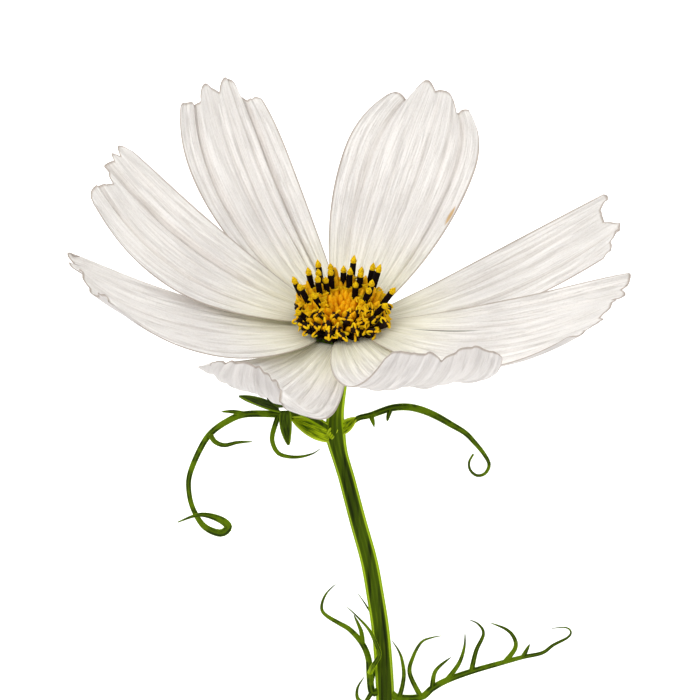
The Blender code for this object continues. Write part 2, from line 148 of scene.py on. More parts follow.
def add_mesh(name, points, faces, material, transform=None):
    """A mesh from points in millimetres, placed in its vertices."""
    points = np.asarray(points, float) * MM
    if transform is not None:
        turn = np.array(transform.to_3x3())
        points = points @ turn.T + np.array(transform.translation)
    mesh = bpy.data.meshes.new(name)
    mesh.from_pydata(points.tolist(), [], faces)
    mesh.update()
    mesh.shade_smooth()
    obj = bpy.data.objects.new(name, mesh)
    bpy.context.scene.collection.objects.link(obj)
    if material:
        mesh.materials.append(material)
    return obj


def store(obj, name, values):
    attribute = obj.data.attributes.new(name, "FLOAT", "POINT")
    attribute.data.foreach_set("value", np.asarray(values, np.float32).ravel())


def store_uv(obj, uv):
    """A UV map from one (u, v) for each vertex."""
    layer = obj.data.uv_layers.new(name="UVMap")
    corners = np.empty(len(obj.data.loops), np.int32)
    obj.data.loops.foreach_get("vertex_index", corners)
    layer.data.foreach_set("uv", np.asarray(uv, np.float32)[corners].ravel())


def smooth_step(x):
    x = np.clip(x, 0.0, 1.0)
    return x * x * (3 - 2 * x)


# Shader nodes


def shader_node(tree, kind, inputs=(), **settings):
    node = tree.nodes.new(kind)
    for key, value in settings.items():
        setattr(node, key, value)
    for key, value in dict(inputs).items():
        if isinstance(value, bpy.types.NodeSocket):
            tree.links.new(value, node.inputs[key])
        else:
            node.inputs[key].default_value = value
    return node


def calc(tree, operation, a, b=0.0, clamp=False):
    return shader_node(tree, "ShaderNodeMath", {0: a, 1: b}, operation=operation, use_clamp=clamp).outputs[0]


def blend_colour(tree, factor, a, b, mode="MIX"):
    """Colour a, going over to colour b as factor goes from 0 to 1."""
    colours = {0: factor}
    for key, colour in ((6, a), (7, b)):
        colours[key] = (*colour, 1.0) if isinstance(colour, tuple) else colour
    return shader_node(tree, "ShaderNodeMix", colours, data_type="RGBA", blend_type=mode).outputs[2]


def between(tree, value, start, end, low=0.0, high=1.0):
    """Goes smoothly from low to high while value goes from start to end."""
    inputs = {"Value": value, "From Min": start, "From Max": end, "To Min": low, "To Max": high}
    return shader_node(tree, "ShaderNodeMapRange", inputs, interpolation_type="SMOOTHSTEP").outputs[0]


def attribute(tree, name):
    return shader_node(tree, "ShaderNodeAttribute", attribute_name=name).outputs["Fac"]


def grain(tree, vector, stretch, detail, roughness=0.5):
    """Noise along a stretched vector."""
    stretched = shader_node(tree, "ShaderNodeVectorMath", {0: vector, 1: stretch}, operation="MULTIPLY")
    inputs = {"Vector": stretched.outputs[0], "Scale": 1.0, "Detail": detail, "Roughness": roughness}
    return shader_node(tree, "ShaderNodeTexNoise", inputs).outputs[0]


def new_finish(name, roughness, **constants):
    """A material with its shader ready, and the tree to build its colour in."""
    material = bpy.data.materials.new(name)
    material.use_nodes = True
    tree = material.node_tree
    shader = tree.nodes["Principled BSDF"]
    shader.inputs["Roughness"].default_value = roughness
    for key, value in constants.items():
        shader.inputs[key.replace("_", " ")].default_value = value
    return material, tree, shader


def finish_with(tree, shader, colour, height=None, depth=0.0001, strength=0.5):
    tree.links.new(colour, shader.inputs["Base Color"])
    if height is not None:
        bump = shader_node(tree, "ShaderNodeBump",
                           {"Height": height, "Distance": depth, "Strength": strength})
        tree.links.new(bump.outputs[0], shader.inputs["Normal"])


def petal_finish(name, mark=None):
    """Warm white with fine lengthwise veins, greenish cream at the claw and taupe at the margin, with painted
    shade in the grooves and on the underside.
    """
    material, tree, shader = new_finish(
        name, 0.62, Subsurface_Weight=0.12, Subsurface_Scale=0.0006, Sheen_Weight=0.08,
        Specular_IOR_Level=0.3)
    shader.inputs["Subsurface Radius"].default_value = (1.0, 0.95, 0.85)
    uv = shader_node(tree, "ShaderNodeUVMap").outputs[0]
    split = shader_node(tree, "ShaderNodeSeparateXYZ", {0: uv})
    along, across = split.outputs[0], split.outputs[1]
    off_centre = calc(tree, "ABSOLUTE", calc(tree, "SUBTRACT", across, 0.5))
    fine = grain(tree, uv, (2.2, 62.0, 1.0), detail=3.0, roughness=0.55)
    hair = grain(tree, uv, (3.0, 130.0, 1.0), detail=2.0)
    broad = grain(tree, uv, (1.6, 20.0, 1.0), detail=3.0)
    cells = grain(tree, uv, (90.0, 70.0, 1.0), detail=3.0, roughness=0.6)
    off_vein = calc(tree, "ABSOLUTE", calc(tree, "SUBTRACT", fine, 0.5))
    veins = between(tree, off_vein, 0.0, 0.045, 1.0, 0.0)
    bands = between(tree, broad, 0.42, 0.68)
    white, taupe = (0.900, 0.866, 0.828), (0.46, 0.405, 0.36)
    colour = blend_colour(tree, calc(tree, "MULTIPLY", veins, 0.24), white, taupe)
    colour = blend_colour(tree, calc(tree, "MULTIPLY", between(tree, hair, 0.5, 0.66), 0.16), colour, taupe)
    colour = blend_colour(tree, calc(tree, "MULTIPLY", bands, 0.10), colour, (0.70, 0.63, 0.58))
    colour = blend_colour(tree, calc(tree, "MULTIPLY", between(tree, cells, 0.5, 0.62), 0.12), colour, taupe)
    # painted shade: the petal is darkened along its grooves and folds
    groove_shade = attribute(tree, "groove_shade")
    colour = blend_colour(tree, calc(tree, "MULTIPLY", groove_shade, 0.32), colour, (0.50, 0.43, 0.385))
    # painted shade: each petal's underside is painted greyer
    under = attribute(tree, "under")
    colour = blend_colour(tree, calc(tree, "MULTIPLY", under, 0.5), colour, (0.70, 0.65, 0.63))
    throat = between(tree, along, 0.02, 0.42, 1.0, 0.0)
    colour = blend_colour(tree, calc(tree, "MULTIPLY", throat, 0.46), colour, (0.98, 0.94, 0.60))
    streak = calc(tree, "MULTIPLY", between(tree, along, 0.0, 0.24, 1.0, 0.0), between(tree, fine, 0.48, 0.6))
    colour = blend_colour(tree, calc(tree, "MULTIPLY", streak, 0.55), colour, (0.42, 0.40, 0.16))
    side_margin = between(tree, off_centre, 0.480, 0.496)
    tip_margin = between(tree, along, 0.984, 0.998)
    margin = calc(tree, "MAXIMUM", side_margin, tip_margin)
    colour = blend_colour(tree, calc(tree, "MULTIPLY", margin, 0.72), colour, (0.36, 0.28, 0.22))
    if mark:
        (u, v), (length, width), tint = mark
        du = calc(tree, "DIVIDE", calc(tree, "SUBTRACT", along, u), length)
        dv = calc(tree, "DIVIDE", calc(tree, "SUBTRACT", across, v), width)
        away = calc(tree, "ADD", calc(tree, "MULTIPLY", du, du), calc(tree, "MULTIPLY", dv, dv))
        away = calc(tree, "ADD", away, calc(tree, "MULTIPLY", calc(tree, "SUBTRACT", fine, 0.5), 1.2))
        spot = between(tree, away, 0.1, 1.0, 0.85, 0.0)
        colour = blend_colour(tree, spot, colour, tint)
    height = calc(tree, "SUBTRACT", calc(tree, "MULTIPLY", cells, 0.6), veins)
    finish_with(tree, shader, colour, height, 0.00014, 0.6)
    return material


def green_finish(name, dark, middle, bright, streaks, flank_light_from):
    """Green plant skin: painted shade darkens its grooves, its ribs are painted lighter, and painted light
    brightens its flanks.
    """
    material, tree, shader = new_finish(name, 0.7, Specular_IOR_Level=0.06)
    place = shader_node(tree, "ShaderNodeTexCoord").outputs["Object"]
    streak = grain(tree, place, streaks, detail=3.0)
    patch = grain(tree, place, (180.0, 180.0, 180.0), detail=2.0)
    rib = attribute(tree, "rib")
    flank = attribute(tree, "flank")
    colour = blend_colour(tree, between(tree, streak, 0.42, 0.60), dark, middle)
    # painted shade: the skin is darker in the valleys between ribs and lighter on the ribs
    colour = blend_colour(tree, between(tree, rib, -0.6, 1.0, 0.0, 0.55), colour, middle)
    # painted light: the skin is brighter yellow-green where it faces sideways
    flank_light = between(tree, calc(tree, "ADD", flank, calc(tree, "MULTIPLY", patch, 0.3)), flank_light_from, 0.95)
    colour = blend_colour(tree, calc(tree, "MULTIPLY", flank_light, 0.95), colour, bright)
    finish_with(tree, shader, colour, streak, 0.00015, 0.5)
    return material


def bract_finish(name, dark, bright, pale):
    """Leafy scale: parallel veins, a paler margin."""
    material, tree, shader = new_finish(name, 0.7, Specular_IOR_Level=0.08)
    uv = shader_node(tree, "ShaderNodeUVMap").outputs[0]
    split = shader_node(tree, "ShaderNodeSeparateXYZ", {0: uv})
    off_centre = calc(tree, "ABSOLUTE", calc(tree, "SUBTRACT", split.outputs[1], 0.5))
    veins = grain(tree, uv, (2.5, 22.0, 1.0), detail=3.0)
    colour = blend_colour(tree, between(tree, veins, 0.36, 0.66), dark, bright)
    margin = between(tree, off_centre, 0.36, 0.5)
    colour = blend_colour(tree, calc(tree, "MULTIPLY", margin, 0.7), colour, pale)
    finish_with(tree, shader, colour, veins, 0.00015, 0.6)
    return material


def floret_finish(name, foot, middle, tip, roughness, speckle):
    """A floret's parts change colour from foot to tip; each floret differs a little in shade."""
    material, tree, shader = new_finish(name, roughness, Specular_IOR_Level=0.12)
    place = shader_node(tree, "ShaderNodeTexCoord").outputs["Object"]
    along = attribute(tree, "along")
    shade = attribute(tree, "shade")
    dust = grain(tree, place, (4200.0, 4200.0, 4200.0), detail=2.0)
    colour = blend_colour(tree, between(tree, along, 0.05, 0.5), foot, middle)
    colour = blend_colour(tree, between(tree, along, 0.60, 0.72), colour, tip)
    darker = calc(tree, "ADD", calc(tree, "MULTIPLY", between(tree, dust, 0.4, 0.7), speckle),
                  calc(tree, "MULTIPLY", shade, 0.30), clamp=True)
    deeper = blend_colour(tree, 1.0, colour, (0.62, 0.42, 0.25), mode="MULTIPLY")
    colour = blend_colour(tree, darker, colour, deeper)
    finish_with(tree, shader, colour, dust, 0.0001, 0.7)
    return material


# Blades: petals, bracts and sheaths are thin shells, bent along a middle line


def middle_line(shape, rows):
    """(place, along, across, up) at each row of a blade, from its base outwards."""
    place = Vector((0.0, 0.0, 0.0))
    step = shape["length"] / rows
    line = []
    for row in range(rows + 1):
        u = row / rows
        pitch = math.radians(shape["rise"] + shape["bend"] * u ** shape["curl"])
        yaw = math.radians(shape["sweep"] * u)
        flat = Vector((math.cos(yaw), math.sin(yaw), 0.0))
        along = flat * math.cos(pitch) + Vector((0.0, 0.0, math.sin(pitch)))
        across = Vector((-math.sin(yaw), math.cos(yaw), 0.0))
        roll = Matrix.Rotation(math.radians(shape["twist"] * float(smooth_step(2 * u))), 3, along)
        if row:
            place = place + along * step
        line.append((place.copy(), along, roll @ across, roll @ along.cross(across)))
    return [np.array([entry[k] for entry in line]) for k in range(4)]


def shell(name, shape, half_width, rim, relief, rows, columns, thickness, transform, material):
    """A closed thin shell. relief gives the height over the blade, in millimetres, and how much painted shade
    darkens each point.
    """
    place, along, across, up = (part[:, None, :] for part in middle_line(shape, rows))
    u = np.linspace(0, 1, rows + 1)[:, None]
    v = np.linspace(-1, 1, columns + 1)[None, :]
    widths = np.array([half_width(shape, x) for x in u[:, 0]])[:, None]
    out, turned_up = rim(shape, v[0])
    height, groove_shade = relief(u, v)
    height = height + shape["cup"] * v * v * np.sin(math.pi * 0.8 * u)
    starts = shape["rim_starts"]
    height = height + turned_up[None, :] * np.clip((u - starts) / (1 - starts), 0, 1) ** 2
    aside = v * widths + shape["bow"] * np.sin(math.pi * u) + shape["drift"] * u**3
    middle = place + across * aside[..., None] + up * height[..., None]
    middle = middle + along * (out[None, :] * u**3)[..., None]
    normal = np.cross(np.gradient(middle, axis=0), np.gradient(middle, axis=1))
    normal /= np.linalg.norm(normal, axis=2, keepdims=True)
    edge = np.clip(np.abs(v) ** 10 + u**14 + 0 * u, 0, 1)
    half = (thickness / 2 * (1 - 0.6 * edge))[..., None]
    count = (rows + 1) * (columns + 1)
    sides = (middle + normal * half, middle - normal * half)
    points = np.concatenate([side.reshape(-1, 3) for side in sides])
    index = np.arange(count).reshape(rows + 1, columns + 1)
    quads = np.stack([index[:-1, :-1], index[1:, :-1], index[1:, 1:], index[:-1, 1:]], axis=-1).reshape(-1, 4)
    faces = [quads, quads[:, ::-1] + count]
    for line, reverse in ((index[0], False), (index[-1], True), (index[:, 0], True), (index[:, -1], False)):
        strip = np.stack([line[:-1], line[1:], line[1:] + count, line[:-1] + count], axis=-1)
        faces.append(strip[:, ::-1] if reverse else strip)
    obj = add_mesh(name, points, np.concatenate(faces).tolist(), material, transform)
    # under marks the underside, which the petal finish paints greyer as painted shade
    store(obj, "under", np.concatenate([np.zeros(count), np.ones(count)]))
    store(obj, "groove_shade", np.tile(np.clip(groove_shade + 0 * u, 0, 1).ravel(), 2))
    uv = np.stack([u + 0 * v, (v + 1) / 2 + 0 * u], axis=-1).reshape(-1, 2)
    store_uv(obj, np.tile(uv, (2, 1)))
    return obj


def round_head(azimuth, radius, height):
    """Where a blade that grows along +X stands on the head, at its azimuth."""
    turn = math.radians(azimuth)
    place = Matrix.Translation((radius * MM * math.sin(turn), -radius * MM * math.cos(turn), height * MM))
    return HEAD_FRAME @ place @ Matrix.Rotation(turn - math.pi / 2, 4, "Z")


def petal_half_width(shape, u):
    """Half the width at u, from a narrow claw to a broad shoulder and a blunt tip."""
    claw = PETAL_CLAW_WIDTH / 2
    full = shape["width"] / 2
    if u < PETAL_WIDEST:
        return claw + (full - claw) * math.sin(math.pi / 2 * u / PETAL_WIDEST) ** PETAL_OPENING
    t = (u - PETAL_WIDEST) / (1 - PETAL_WIDEST)
    return full * math.sqrt(1 - (1 - shape["tip_width"]**2) * t * t)


def toothed_rim(shape, v):
    """(out, up) at v: rounded teeth and sharp notches between the rim's points."""
    stations, out, up = (np.array(part, float) for part in zip(*shape["rim"]))
    after = np.clip(np.searchsorted(stations, v, side="left"), 1, len(stations) - 1)
    t = np.clip((v - stations[after - 1]) / (stations[after] - stations[after - 1]), 0, 1)
    rising = out[after] > out[after - 1]
    eased = np.where(rising, np.sin(math.pi / 2 * t), 1 - np.cos(math.pi / 2 * t))
    level = out[after - 1] + (out[after] - out[after - 1]) * eased
    return level, up[after - 1] + (up[after] - up[after - 1]) * smooth_step(t)


def pleats(seed, folds):
    """Narrow grooves that fan out from the claw, with soft waves between them; painted shade darkens the
    grooves and folds.
    """
    draw = np.random.RandomState(seed)
    centres = np.linspace(-0.84, 0.84, PLEATS) + draw.uniform(-0.05, 0.05, PLEATS)
    depths = draw.uniform(0.12, 0.34, PLEATS)
    spreads = draw.uniform(0.030, 0.055, PLEATS)
    phases = draw.uniform(0, 2 * math.pi, 4)

    def relief(u, v):
        height = 0 * u * v
        groove_shade = 0 * u * v
        opening = smooth_step(u / 0.3)
        closing = 1 - 0.45 * smooth_step((u - 0.6) / 0.4)
        for centre, depth, spread in zip(centres, depths, spreads):
            wander = centre + 0.018 * np.sin(5 * u + 9 * centre + phases[0])
            dip = np.exp(-(((v - wander) / spread) ** 2))
            height = height - depth * dip * opening * closing
            groove_shade = groove_shade + depth * 1.6 * dip * (0.35 + 0.65 * opening) * closing
        for centre, depth, spread in folds:
            dip = np.exp(-(((v - centre) / spread) ** 2))
            height = height - depth * dip * opening
            groove_shade = groove_shade + 0.9 * dip * opening * min(1.0, abs(depth) / 0.8)
        height = height + 0.22 * np.sin(8.5 * v + 1.5 * u + phases[1]) * opening
        height = height + 0.10 * np.sin(23 * v + 2.0 * u + phases[2]) * opening
        height = height + 0.35 * np.sin(6.0 * v + phases[3]) * u**5
        return height, groove_shade

    return relief


def petal(azimuth, rise, bend, rim, **changes):
    """What sets one petal apart from the next. A rim's points are (share of the width, out, up)."""
    shape = {
        "azimuth": azimuth,
        "rise": rise,
        "bend": bend,
        "sweep": 0.0,
        "twist": 0.0,
        "cup": 1.2,
        "curl": 1.0,
        "bow": 0.0,
        "drift": 0.0,
        "lift": 0.0,
        "rim_starts": PETAL_RIM_STARTS,
        "length": PETAL_LENGTH,
        "width": PETAL_WIDTH,
        "tip_width": PETAL_TIP_WIDTH,
        "rim": rim,
        "folds": (),
        "finish": "plain",
    }
    shape.update(changes)
    return shape


# Clockwise from the front left, as the viewer sees them.
PETALS = (
    petal(-21, -5, 46, (
        (-1, -0.2, 1.4), (-0.85, 1.6, 1.8), (-0.62, 1.2, 3.2), (-0.45, 0.4, 4.4), (-0.28, -0.8, 4.6),
        (-0.05, -2.4, 4.4), (0.15, -2.6, 4.2), (0.45, -2.8, 3.8), (0.7, -2.6, 2.8), (0.88, -1.2, 0.8),
        (1, -3.4, 0.2),
    ), sweep=8, twist=-13, width=18.2, length=39.2, bow=-0.9, drift=-0.5, rim_starts=0.5),
    petal(-64, 7, 43, (
        (-1, -1.4, 0), (-0.9, 0.2, 0), (-0.78, -1.6, 0), (-0.62, 0.1, 0), (-0.42, -1.8, 0), (-0.2, -0.1, 0),
        (0.15, -1.9, 0), (0.42, -2.6, 0), (0.55, -1.7, 0), (0.8, -2.6, 0), (1, -4.5, 0),
    ), twist=-2, width=21, length=39.5, curl=1.2, lift=0.6),
    petal(-108, 14, 32, (
        (-1, -2.8, 0), (-0.8, -0.6, 0), (-0.7, -1.9, 0), (-0.58, -0.6, 0), (-0.5, -1.5, 0), (-0.38, -1.0, 0),
        (-0.2, -2.0, 0), (0.0, -3.4, 0), (0.25, -2.6, 0), (0.6, -1.3, 0), (1, -3.2, 0),
    ), sweep=6, twist=-6, length=37.5, width=17.8, tip_width=0.85, bow=1.8, drift=-1.8, lift=1.4,
       folds=((-0.35, 1.0, 0.09), (0.42, 0.6, 0.06))),
    petal(-150, 17.5, 19.5, (
        (-1, -3.6, 0), (-0.85, -2.8, 0), (-0.68, -3.2, 0), (-0.36, 1.2, 0), (-0.1, -1, 0), (0.14, 1, 0),
        (0.42, -1.9, 0), (0.9, -2.0, 0), (1, -2.6, 0),
    ), sweep=-3, twist=2, width=16.4, length=43, tip_width=0.82, bow=1.1, drift=-1.2, lift=0.5,
       folds=((-0.62, 0.8, 0.06), (0.55, 0.6, 0.05), (-0.42, 0.5, 0.04))),
    petal(160, 23.5, 10, (
        (-1, -4.2, 0), (-0.92, -3.4, 0), (-0.66, -4.0, 0), (-0.2, 0.1, 0), (-0.03, -0.7, 0), (0.25, 1, 0),
        (0.56, -2.8, 0), (0.85, -1.9, 0), (1, -2.8, 0),
    ), width=20.6, length=41.5, tip_width=0.66, folds=((-0.7, 0.6, 0.05), (0.6, 0.4, 0.04)),
       finish="blemished"),
    petal(105, 6, 28, (
        (-1, -5.0, 0), (-0.6, -3.0, 0), (-0.3, -1.2, 0), (-0.1, -0.6, 0), (0.25, -2.6, 0), (0.6, -2.2, 0),
        (0.93, -0.4, 0), (1, -0.8, 0),
    ), sweep=-6, length=39, width=16.6, tip_width=0.92, bow=-0.9,
       folds=((-0.3, 0.7, 0.05), (0.5, 0.4, 0.05))),
    petal(64, 6.5, 26, (
        (-1, -4.8, 0), (-0.74, -3.0, 0), (-0.64, -3.8, 0), (-0.3, -1.6, 0), (-0.2, -2.5, 0), (0.2, -0.8, 0),
        (0.35, -1.8, 0), (0.6, -0.8, 0), (0.72, -1.6, 0), (0.93, 0.0, 0), (1, -0.4, 0),
    ), sweep=-4, twist=8, width=18.5, length=39.8, tip_width=0.75, bow=-2.6, lift=1.2, finish="creased"),
    petal(17.5, 2, 68, (
        (-1, -1.5, 0), (-0.75, -0.2, 0), (-0.5, -0.6, 0), (-0.3, -0.8, 0), (-0.05, -3.0, 0), (0.2, -1.6, 0),
        (0.45, -1.4, 0), (0.75, -2.2, 0), (1, -4.2, 0),
    ), sweep=11, twist=-8, width=19.5, length=39, tip_width=0.88, cup=0.3, lift=1.1, curl=1.8, bow=0.6),
)


# A mark on a petal: (along, across), (length, width) as shares of the petal, and its tint.
BLEMISH = ((0.47, 0.03), (0.05, 0.018), (0.58, 0.34, 0.10))
# painted shade: a thin dark line along the petal where it is creased
CREASE_SHADE = ((0.28, 0.66), (0.17, 0.014), (0.16, 0.15, 0.10))


def make_petals():
    finishes = {
        "plain": petal_finish("petal_white"),
        "blemished": petal_finish("petal_white_blemished", BLEMISH),
        "creased": petal_finish("petal_white_crease_shaded", CREASE_SHADE),
    }
    for number, shape in enumerate(PETALS, 1):
        place = round_head(shape["azimuth"], PETAL_RING_RADIUS, shape["lift"])
        obj = shell(f"petal_{number}_pleated", shape, petal_half_width, toothed_rim,
                    pleats(number, shape["folds"]), PETAL_ROWS, PETAL_COLUMNS, PETAL_THICKNESS, place,
                    finishes[shape["finish"]])
        keep(obj, "petal_white", f"petal_{number}")


# Bracts


def lance_half_width(shape, u):
    """Broadest a third of the way up, drawn out to a point."""
    return shape["width"] / 2 * (0.10 + 0.90 * math.sin(math.pi * (0.22 + 0.78 * u) ** 0.9) ** 0.8)


def plain_rim(shape, v):
    return 0 * v, 0 * v


def ribbed_blade(u, v):
    """A midrib with two side veins."""
    lines = np.exp(-((v / 0.12) ** 2)) + 0.6 * np.exp(-(((np.abs(v) - 0.5) / 0.1) ** 2))
    return -0.07 * lines * smooth_step(4 * (1 - u)), 0.6 * lines


def bract(rise, bend, length, width, cup=0.3):
    return {"rise": rise, "bend": bend, "sweep": 0.0, "twist": 0.0, "cup": cup, "curl": 1.0, "bow": 0.0,
            "drift": 0.0, "rim_starts": 0.0, "length": length, "width": width}


def make_bract(name, node, shape, place, material, slot):
    obj = shell(name, shape, lance_half_width, plain_rim, ribbed_blade, BRACT_ROWS, BRACT_COLUMNS,
                BRACT_THICKNESS, place, material)
    keep(obj, slot, node)


def make_bracts(outer_material, inner_material):
    """One narrow outer bract below each petal, one broad inner bract below each space between two."""
    for number, shape in enumerate(PETALS, 1):
        following = PETALS[number % len(PETALS)]
        gap = (shape["azimuth"] - following["azimuth"]) % 360
        outer = bract(shape["rise"] - BRACT_DROP, 10, OUTER_BRACT_LENGTH, OUTER_BRACT_WIDTH)
        make_bract(f"outer_bract_{number}_veined", f"outer_bract_{number}", outer,
                   round_head(shape["azimuth"], *OUTER_BRACT_FOOT), outer_material, "bract_green")
        lower_rise = min(shape["rise"], following["rise"])
        inner = bract(lower_rise - BRACT_DROP, 6, INNER_BRACT_LENGTH, INNER_BRACT_WIDTH)
        make_bract(f"inner_bract_{number}_veined", f"inner_bract_{number}", inner,
                   round_head(shape["azimuth"] - gap / 2, *INNER_BRACT_FOOT), inner_material,
                   "inner_bract_green")


# Turned pieces


def turned(name, profile, sides, material, transform=None, lobes=5, waves=None):
    """A closed solid of revolution from (radius, height) points, foot to top. waves gives each
    height's lobe depth."""
    waves = waves or [0.0] * len(profile)
    angles = np.arange(sides) * 2 * math.pi / sides
    points = [(0.0, 0.0, profile[0][1])]
    for (radius, height), wave in zip(profile, waves):
        spread = radius * (1 + wave * np.cos(lobes * angles))
        points += list(zip(spread * np.cos(angles), spread * np.sin(angles), 0 * angles + height))
    points.append((0.0, 0.0, profile[-1][1]))
    faces = []
    last = len(points) - 1
    for k in range(sides):
        following = (k + 1) % sides
        faces.append((0, 1 + following, 1 + k))
        for ring in range(len(profile) - 1):
            low, high = 1 + ring * sides, 1 + (ring + 1) * sides
            faces.append((low + k, low + following, high + following, high + k))
        top = 1 + (len(profile) - 1) * sides
        faces.append((top + k, top + following, last))
    return add_mesh(name, points, faces, material, transform)


def swept(name, centres, radii, sides, material):
    """A closed round tube through its centres."""
    centres = np.asarray(centres, float)
    tangents = np.gradient(centres, axis=0)
    tangents /= np.linalg.norm(tangents, axis=1, keepdims=True)
    points, faces = [], []
    aside = np.array((0.0, 1.0, 0.0))
    angles = np.arange(sides) * 2 * math.pi / sides
    for centre, tangent, radius in zip(centres, tangents, radii):
        outwards = np.cross(aside, tangent)
        outwards /= np.linalg.norm(outwards)
        upwards = np.cross(tangent, outwards)
        points += [centre + radius * (math.cos(a) * outwards + math.sin(a) * upwards) for a in angles]
    for ring in range(len(centres) - 1):
        for k in range(sides):
            following = (k + 1) % sides
            faces.append((ring * sides + k, ring * sides + following,
                          (ring + 1) * sides + following, (ring + 1) * sides + k))
    faces.append(tuple(range(sides))[::-1])
    faces.append(tuple((len(centres) - 1) * sides + k for k in range(sides)))
    return add_mesh(name, points, faces, material)


# Geometry Nodes


class Rule:
    """A Geometry Nodes tree with named inputs, built one node at a time."""

    def __init__(self, name, inputs):
        self.tree = bpy.data.node_groups.new(name, "GeometryNodeTree")
        face = self.tree.interface
        face.new_socket("Geometry", in_out="INPUT", socket_type="NodeSocketGeometry")
        face.new_socket("Geometry", in_out="OUTPUT", socket_type="NodeSocketGeometry")
        for key, kind in inputs:
            face.new_socket(key, in_out="INPUT", socket_type="NodeSocket" + kind)
        self.inputs = self.tree.nodes.new("NodeGroupInput").outputs

    def add(self, kind, inputs=(), **settings):
        return shader_node(self.tree, kind, inputs, **settings)

    def calc(self, operation, a, b=0.0):
        return calc(self.tree, operation, a, b)

    def end(self, geometry):
        """Every tree ends with its instances made real and its material set."""
        real = self.add("GeometryNodeRealizeInstances", {"Geometry": geometry}).outputs[0]
        smooth = self.add("GeometryNodeSetShadeSmooth", {0: real}).outputs[0]
        dressed = self.add("GeometryNodeSetMaterial",
                           {"Geometry": smooth, "Material": self.inputs["Material"]})
        self.add("NodeGroupOutput", {0: dressed.outputs[0]})

    def grow(self, name, holder, values, transform):
        """The tree's result on the holder, as a plain mesh. The holder goes."""
        modifier = holder.modifiers.new("rule", "NODES")
        modifier.node_group = self.tree
        for item in self.tree.interface.items_tree:
            if item.in_out == "INPUT" and item.name in values:
                modifier[item.identifier] = values[item.name]
        graph = bpy.context.evaluated_depsgraph_get()
        mesh = bpy.data.meshes.new_from_object(holder.evaluated_get(graph))
        bpy.data.objects.remove(holder, do_unlink=True)
        mesh.name = name
        mesh.transform(transform)
        obj = bpy.data.objects.new(name, mesh)
        bpy.context.scene.collection.objects.link(obj)
        return obj


def floret_rule():
    """Florets packed in a sunflower spiral, leaning outwards, and most of all towards the front."""
    rule = Rule("floret_spiral", (
        ("Material", "Material"), ("Floret", "Object"), ("Count", "Int"), ("Disc Radius", "Float"),
        ("Turn", "Float"), ("Inner Radius", "Float"), ("Outer Radius", "Float"), ("Front From", "Float"),
        ("Front To", "Float"), ("Foot", "Float"), ("Dome", "Float"), ("Lean", "Float"),
        ("Front Lean", "Float"), ("Length At Middle", "Float"), ("Length At Rim", "Float"),
        ("Front Length", "Float"), ("Seed", "Int"),
    ))
    given, calc_ = rule.inputs, rule.calc
    index = rule.add("GeometryNodeInputIndex").outputs[0]
    share = calc_("SQRT", calc_("DIVIDE", calc_("ADD", index, 0.5), given["Count"]))
    radius = calc_("MULTIPLY", share, given["Disc Radius"])
    turn = calc_("MULTIPLY", index, given["Turn"])
    forward = calc_("COSINE", turn)
    x = calc_("MULTIPLY", radius, calc_("SINE", turn))
    y = calc_("MULTIPLY", radius, calc_("MULTIPLY", forward, -1.0))
    dome = calc_("MULTIPLY", calc_("SUBTRACT", 1.0, calc_("MULTIPLY", share, share)), given["Dome"])
    place = rule.add("ShaderNodeCombineXYZ", {0: x, 1: y, 2: calc_("ADD", given["Foot"], dome)}).outputs[0]
    points = rule.add("GeometryNodePoints", {"Count": given["Count"], "Position": place}).outputs[0]

    chosen = calc_("MULTIPLY", calc_("GREATER_THAN", radius, given["Inner Radius"]),
                   calc_("LESS_THAN", radius, given["Outer Radius"]))
    chosen = calc_("MULTIPLY", chosen, calc_("MULTIPLY", calc_("GREATER_THAN", forward, given["Front From"]),
                                            calc_("LESS_THAN", forward, given["Front To"])))

    def chance(low, high, shift):
        seed = calc_("ADD", given["Seed"], shift)
        inputs = {2: low, 3: high, "Seed": seed}
        return rule.add("FunctionNodeRandomValue", inputs, data_type="FLOAT").outputs[1]

    front = rule.add("ShaderNodeMapRange", {"Value": forward, "From Min": -0.25, "From Max": 0.95,
                                            "To Min": 0.0, "To Max": 1.0},
                     interpolation_type="SMOOTHSTEP").outputs[0]
    front = calc_("MULTIPLY", front, share)
    lean = calc_("MULTIPLY", share, given["Lean"])
    lean = calc_("ADD", lean, calc_("MULTIPLY", front, given["Front Lean"]))
    lean = calc_("ADD", lean, chance(-0.09, 0.09, 1))
    heading = calc_("ADD", calc_("SUBTRACT", turn, math.pi / 2), chance(-0.12, 0.12, 2))
    tilt = rule.add("ShaderNodeCombineXYZ", {0: 0.0, 1: lean, 2: heading}).outputs[0]
    rotation = rule.add("FunctionNodeEulerToRotation", {0: tilt}).outputs[0]
    spin = rule.add("ShaderNodeCombineXYZ", {2: chance(-3.0, 3.0, 3)}).outputs[0]
    rotation = rule.add("FunctionNodeRotateRotation", {
        "Rotation": rotation,
        "Rotate By": rule.add("FunctionNodeEulerToRotation", {0: spin}).outputs[0],
    }, rotation_space="LOCAL").outputs[0]
    rise = calc_("SUBTRACT", given["Length At Rim"], given["Length At Middle"])
    length = calc_("ADD", given["Length At Middle"], calc_("MULTIPLY", share, rise))
    fall = calc_("MULTIPLY", front, calc_("SUBTRACT", given["Front Length"], 1.0))
    length = calc_("MULTIPLY", length, calc_("ADD", 1.0, fall))
    length = calc_("MULTIPLY", length, chance(0.9, 1.08, 4))
    size = rule.add("ShaderNodeCombineXYZ", {0: 1.0, 1: 1.0, 2: length}).outputs[0]

    floret = rule.add("GeometryNodeObjectInfo", {"Object": given["Floret"]}).outputs["Geometry"]
    placed = rule.add("GeometryNodeInstanceOnPoints", {
        "Points": points, "Selection": chosen, "Instance": floret, "Rotation": rotation, "Scale": size,
    }).outputs[0]
    placed = rule.add("GeometryNodeStoreNamedAttribute", {
        "Geometry": placed, "Name": "shade", "Value": chance(0.0, 1.0, 5),
    }, data_type="FLOAT", domain="INSTANCE").outputs[0]
    rule.end(placed)
    return rule


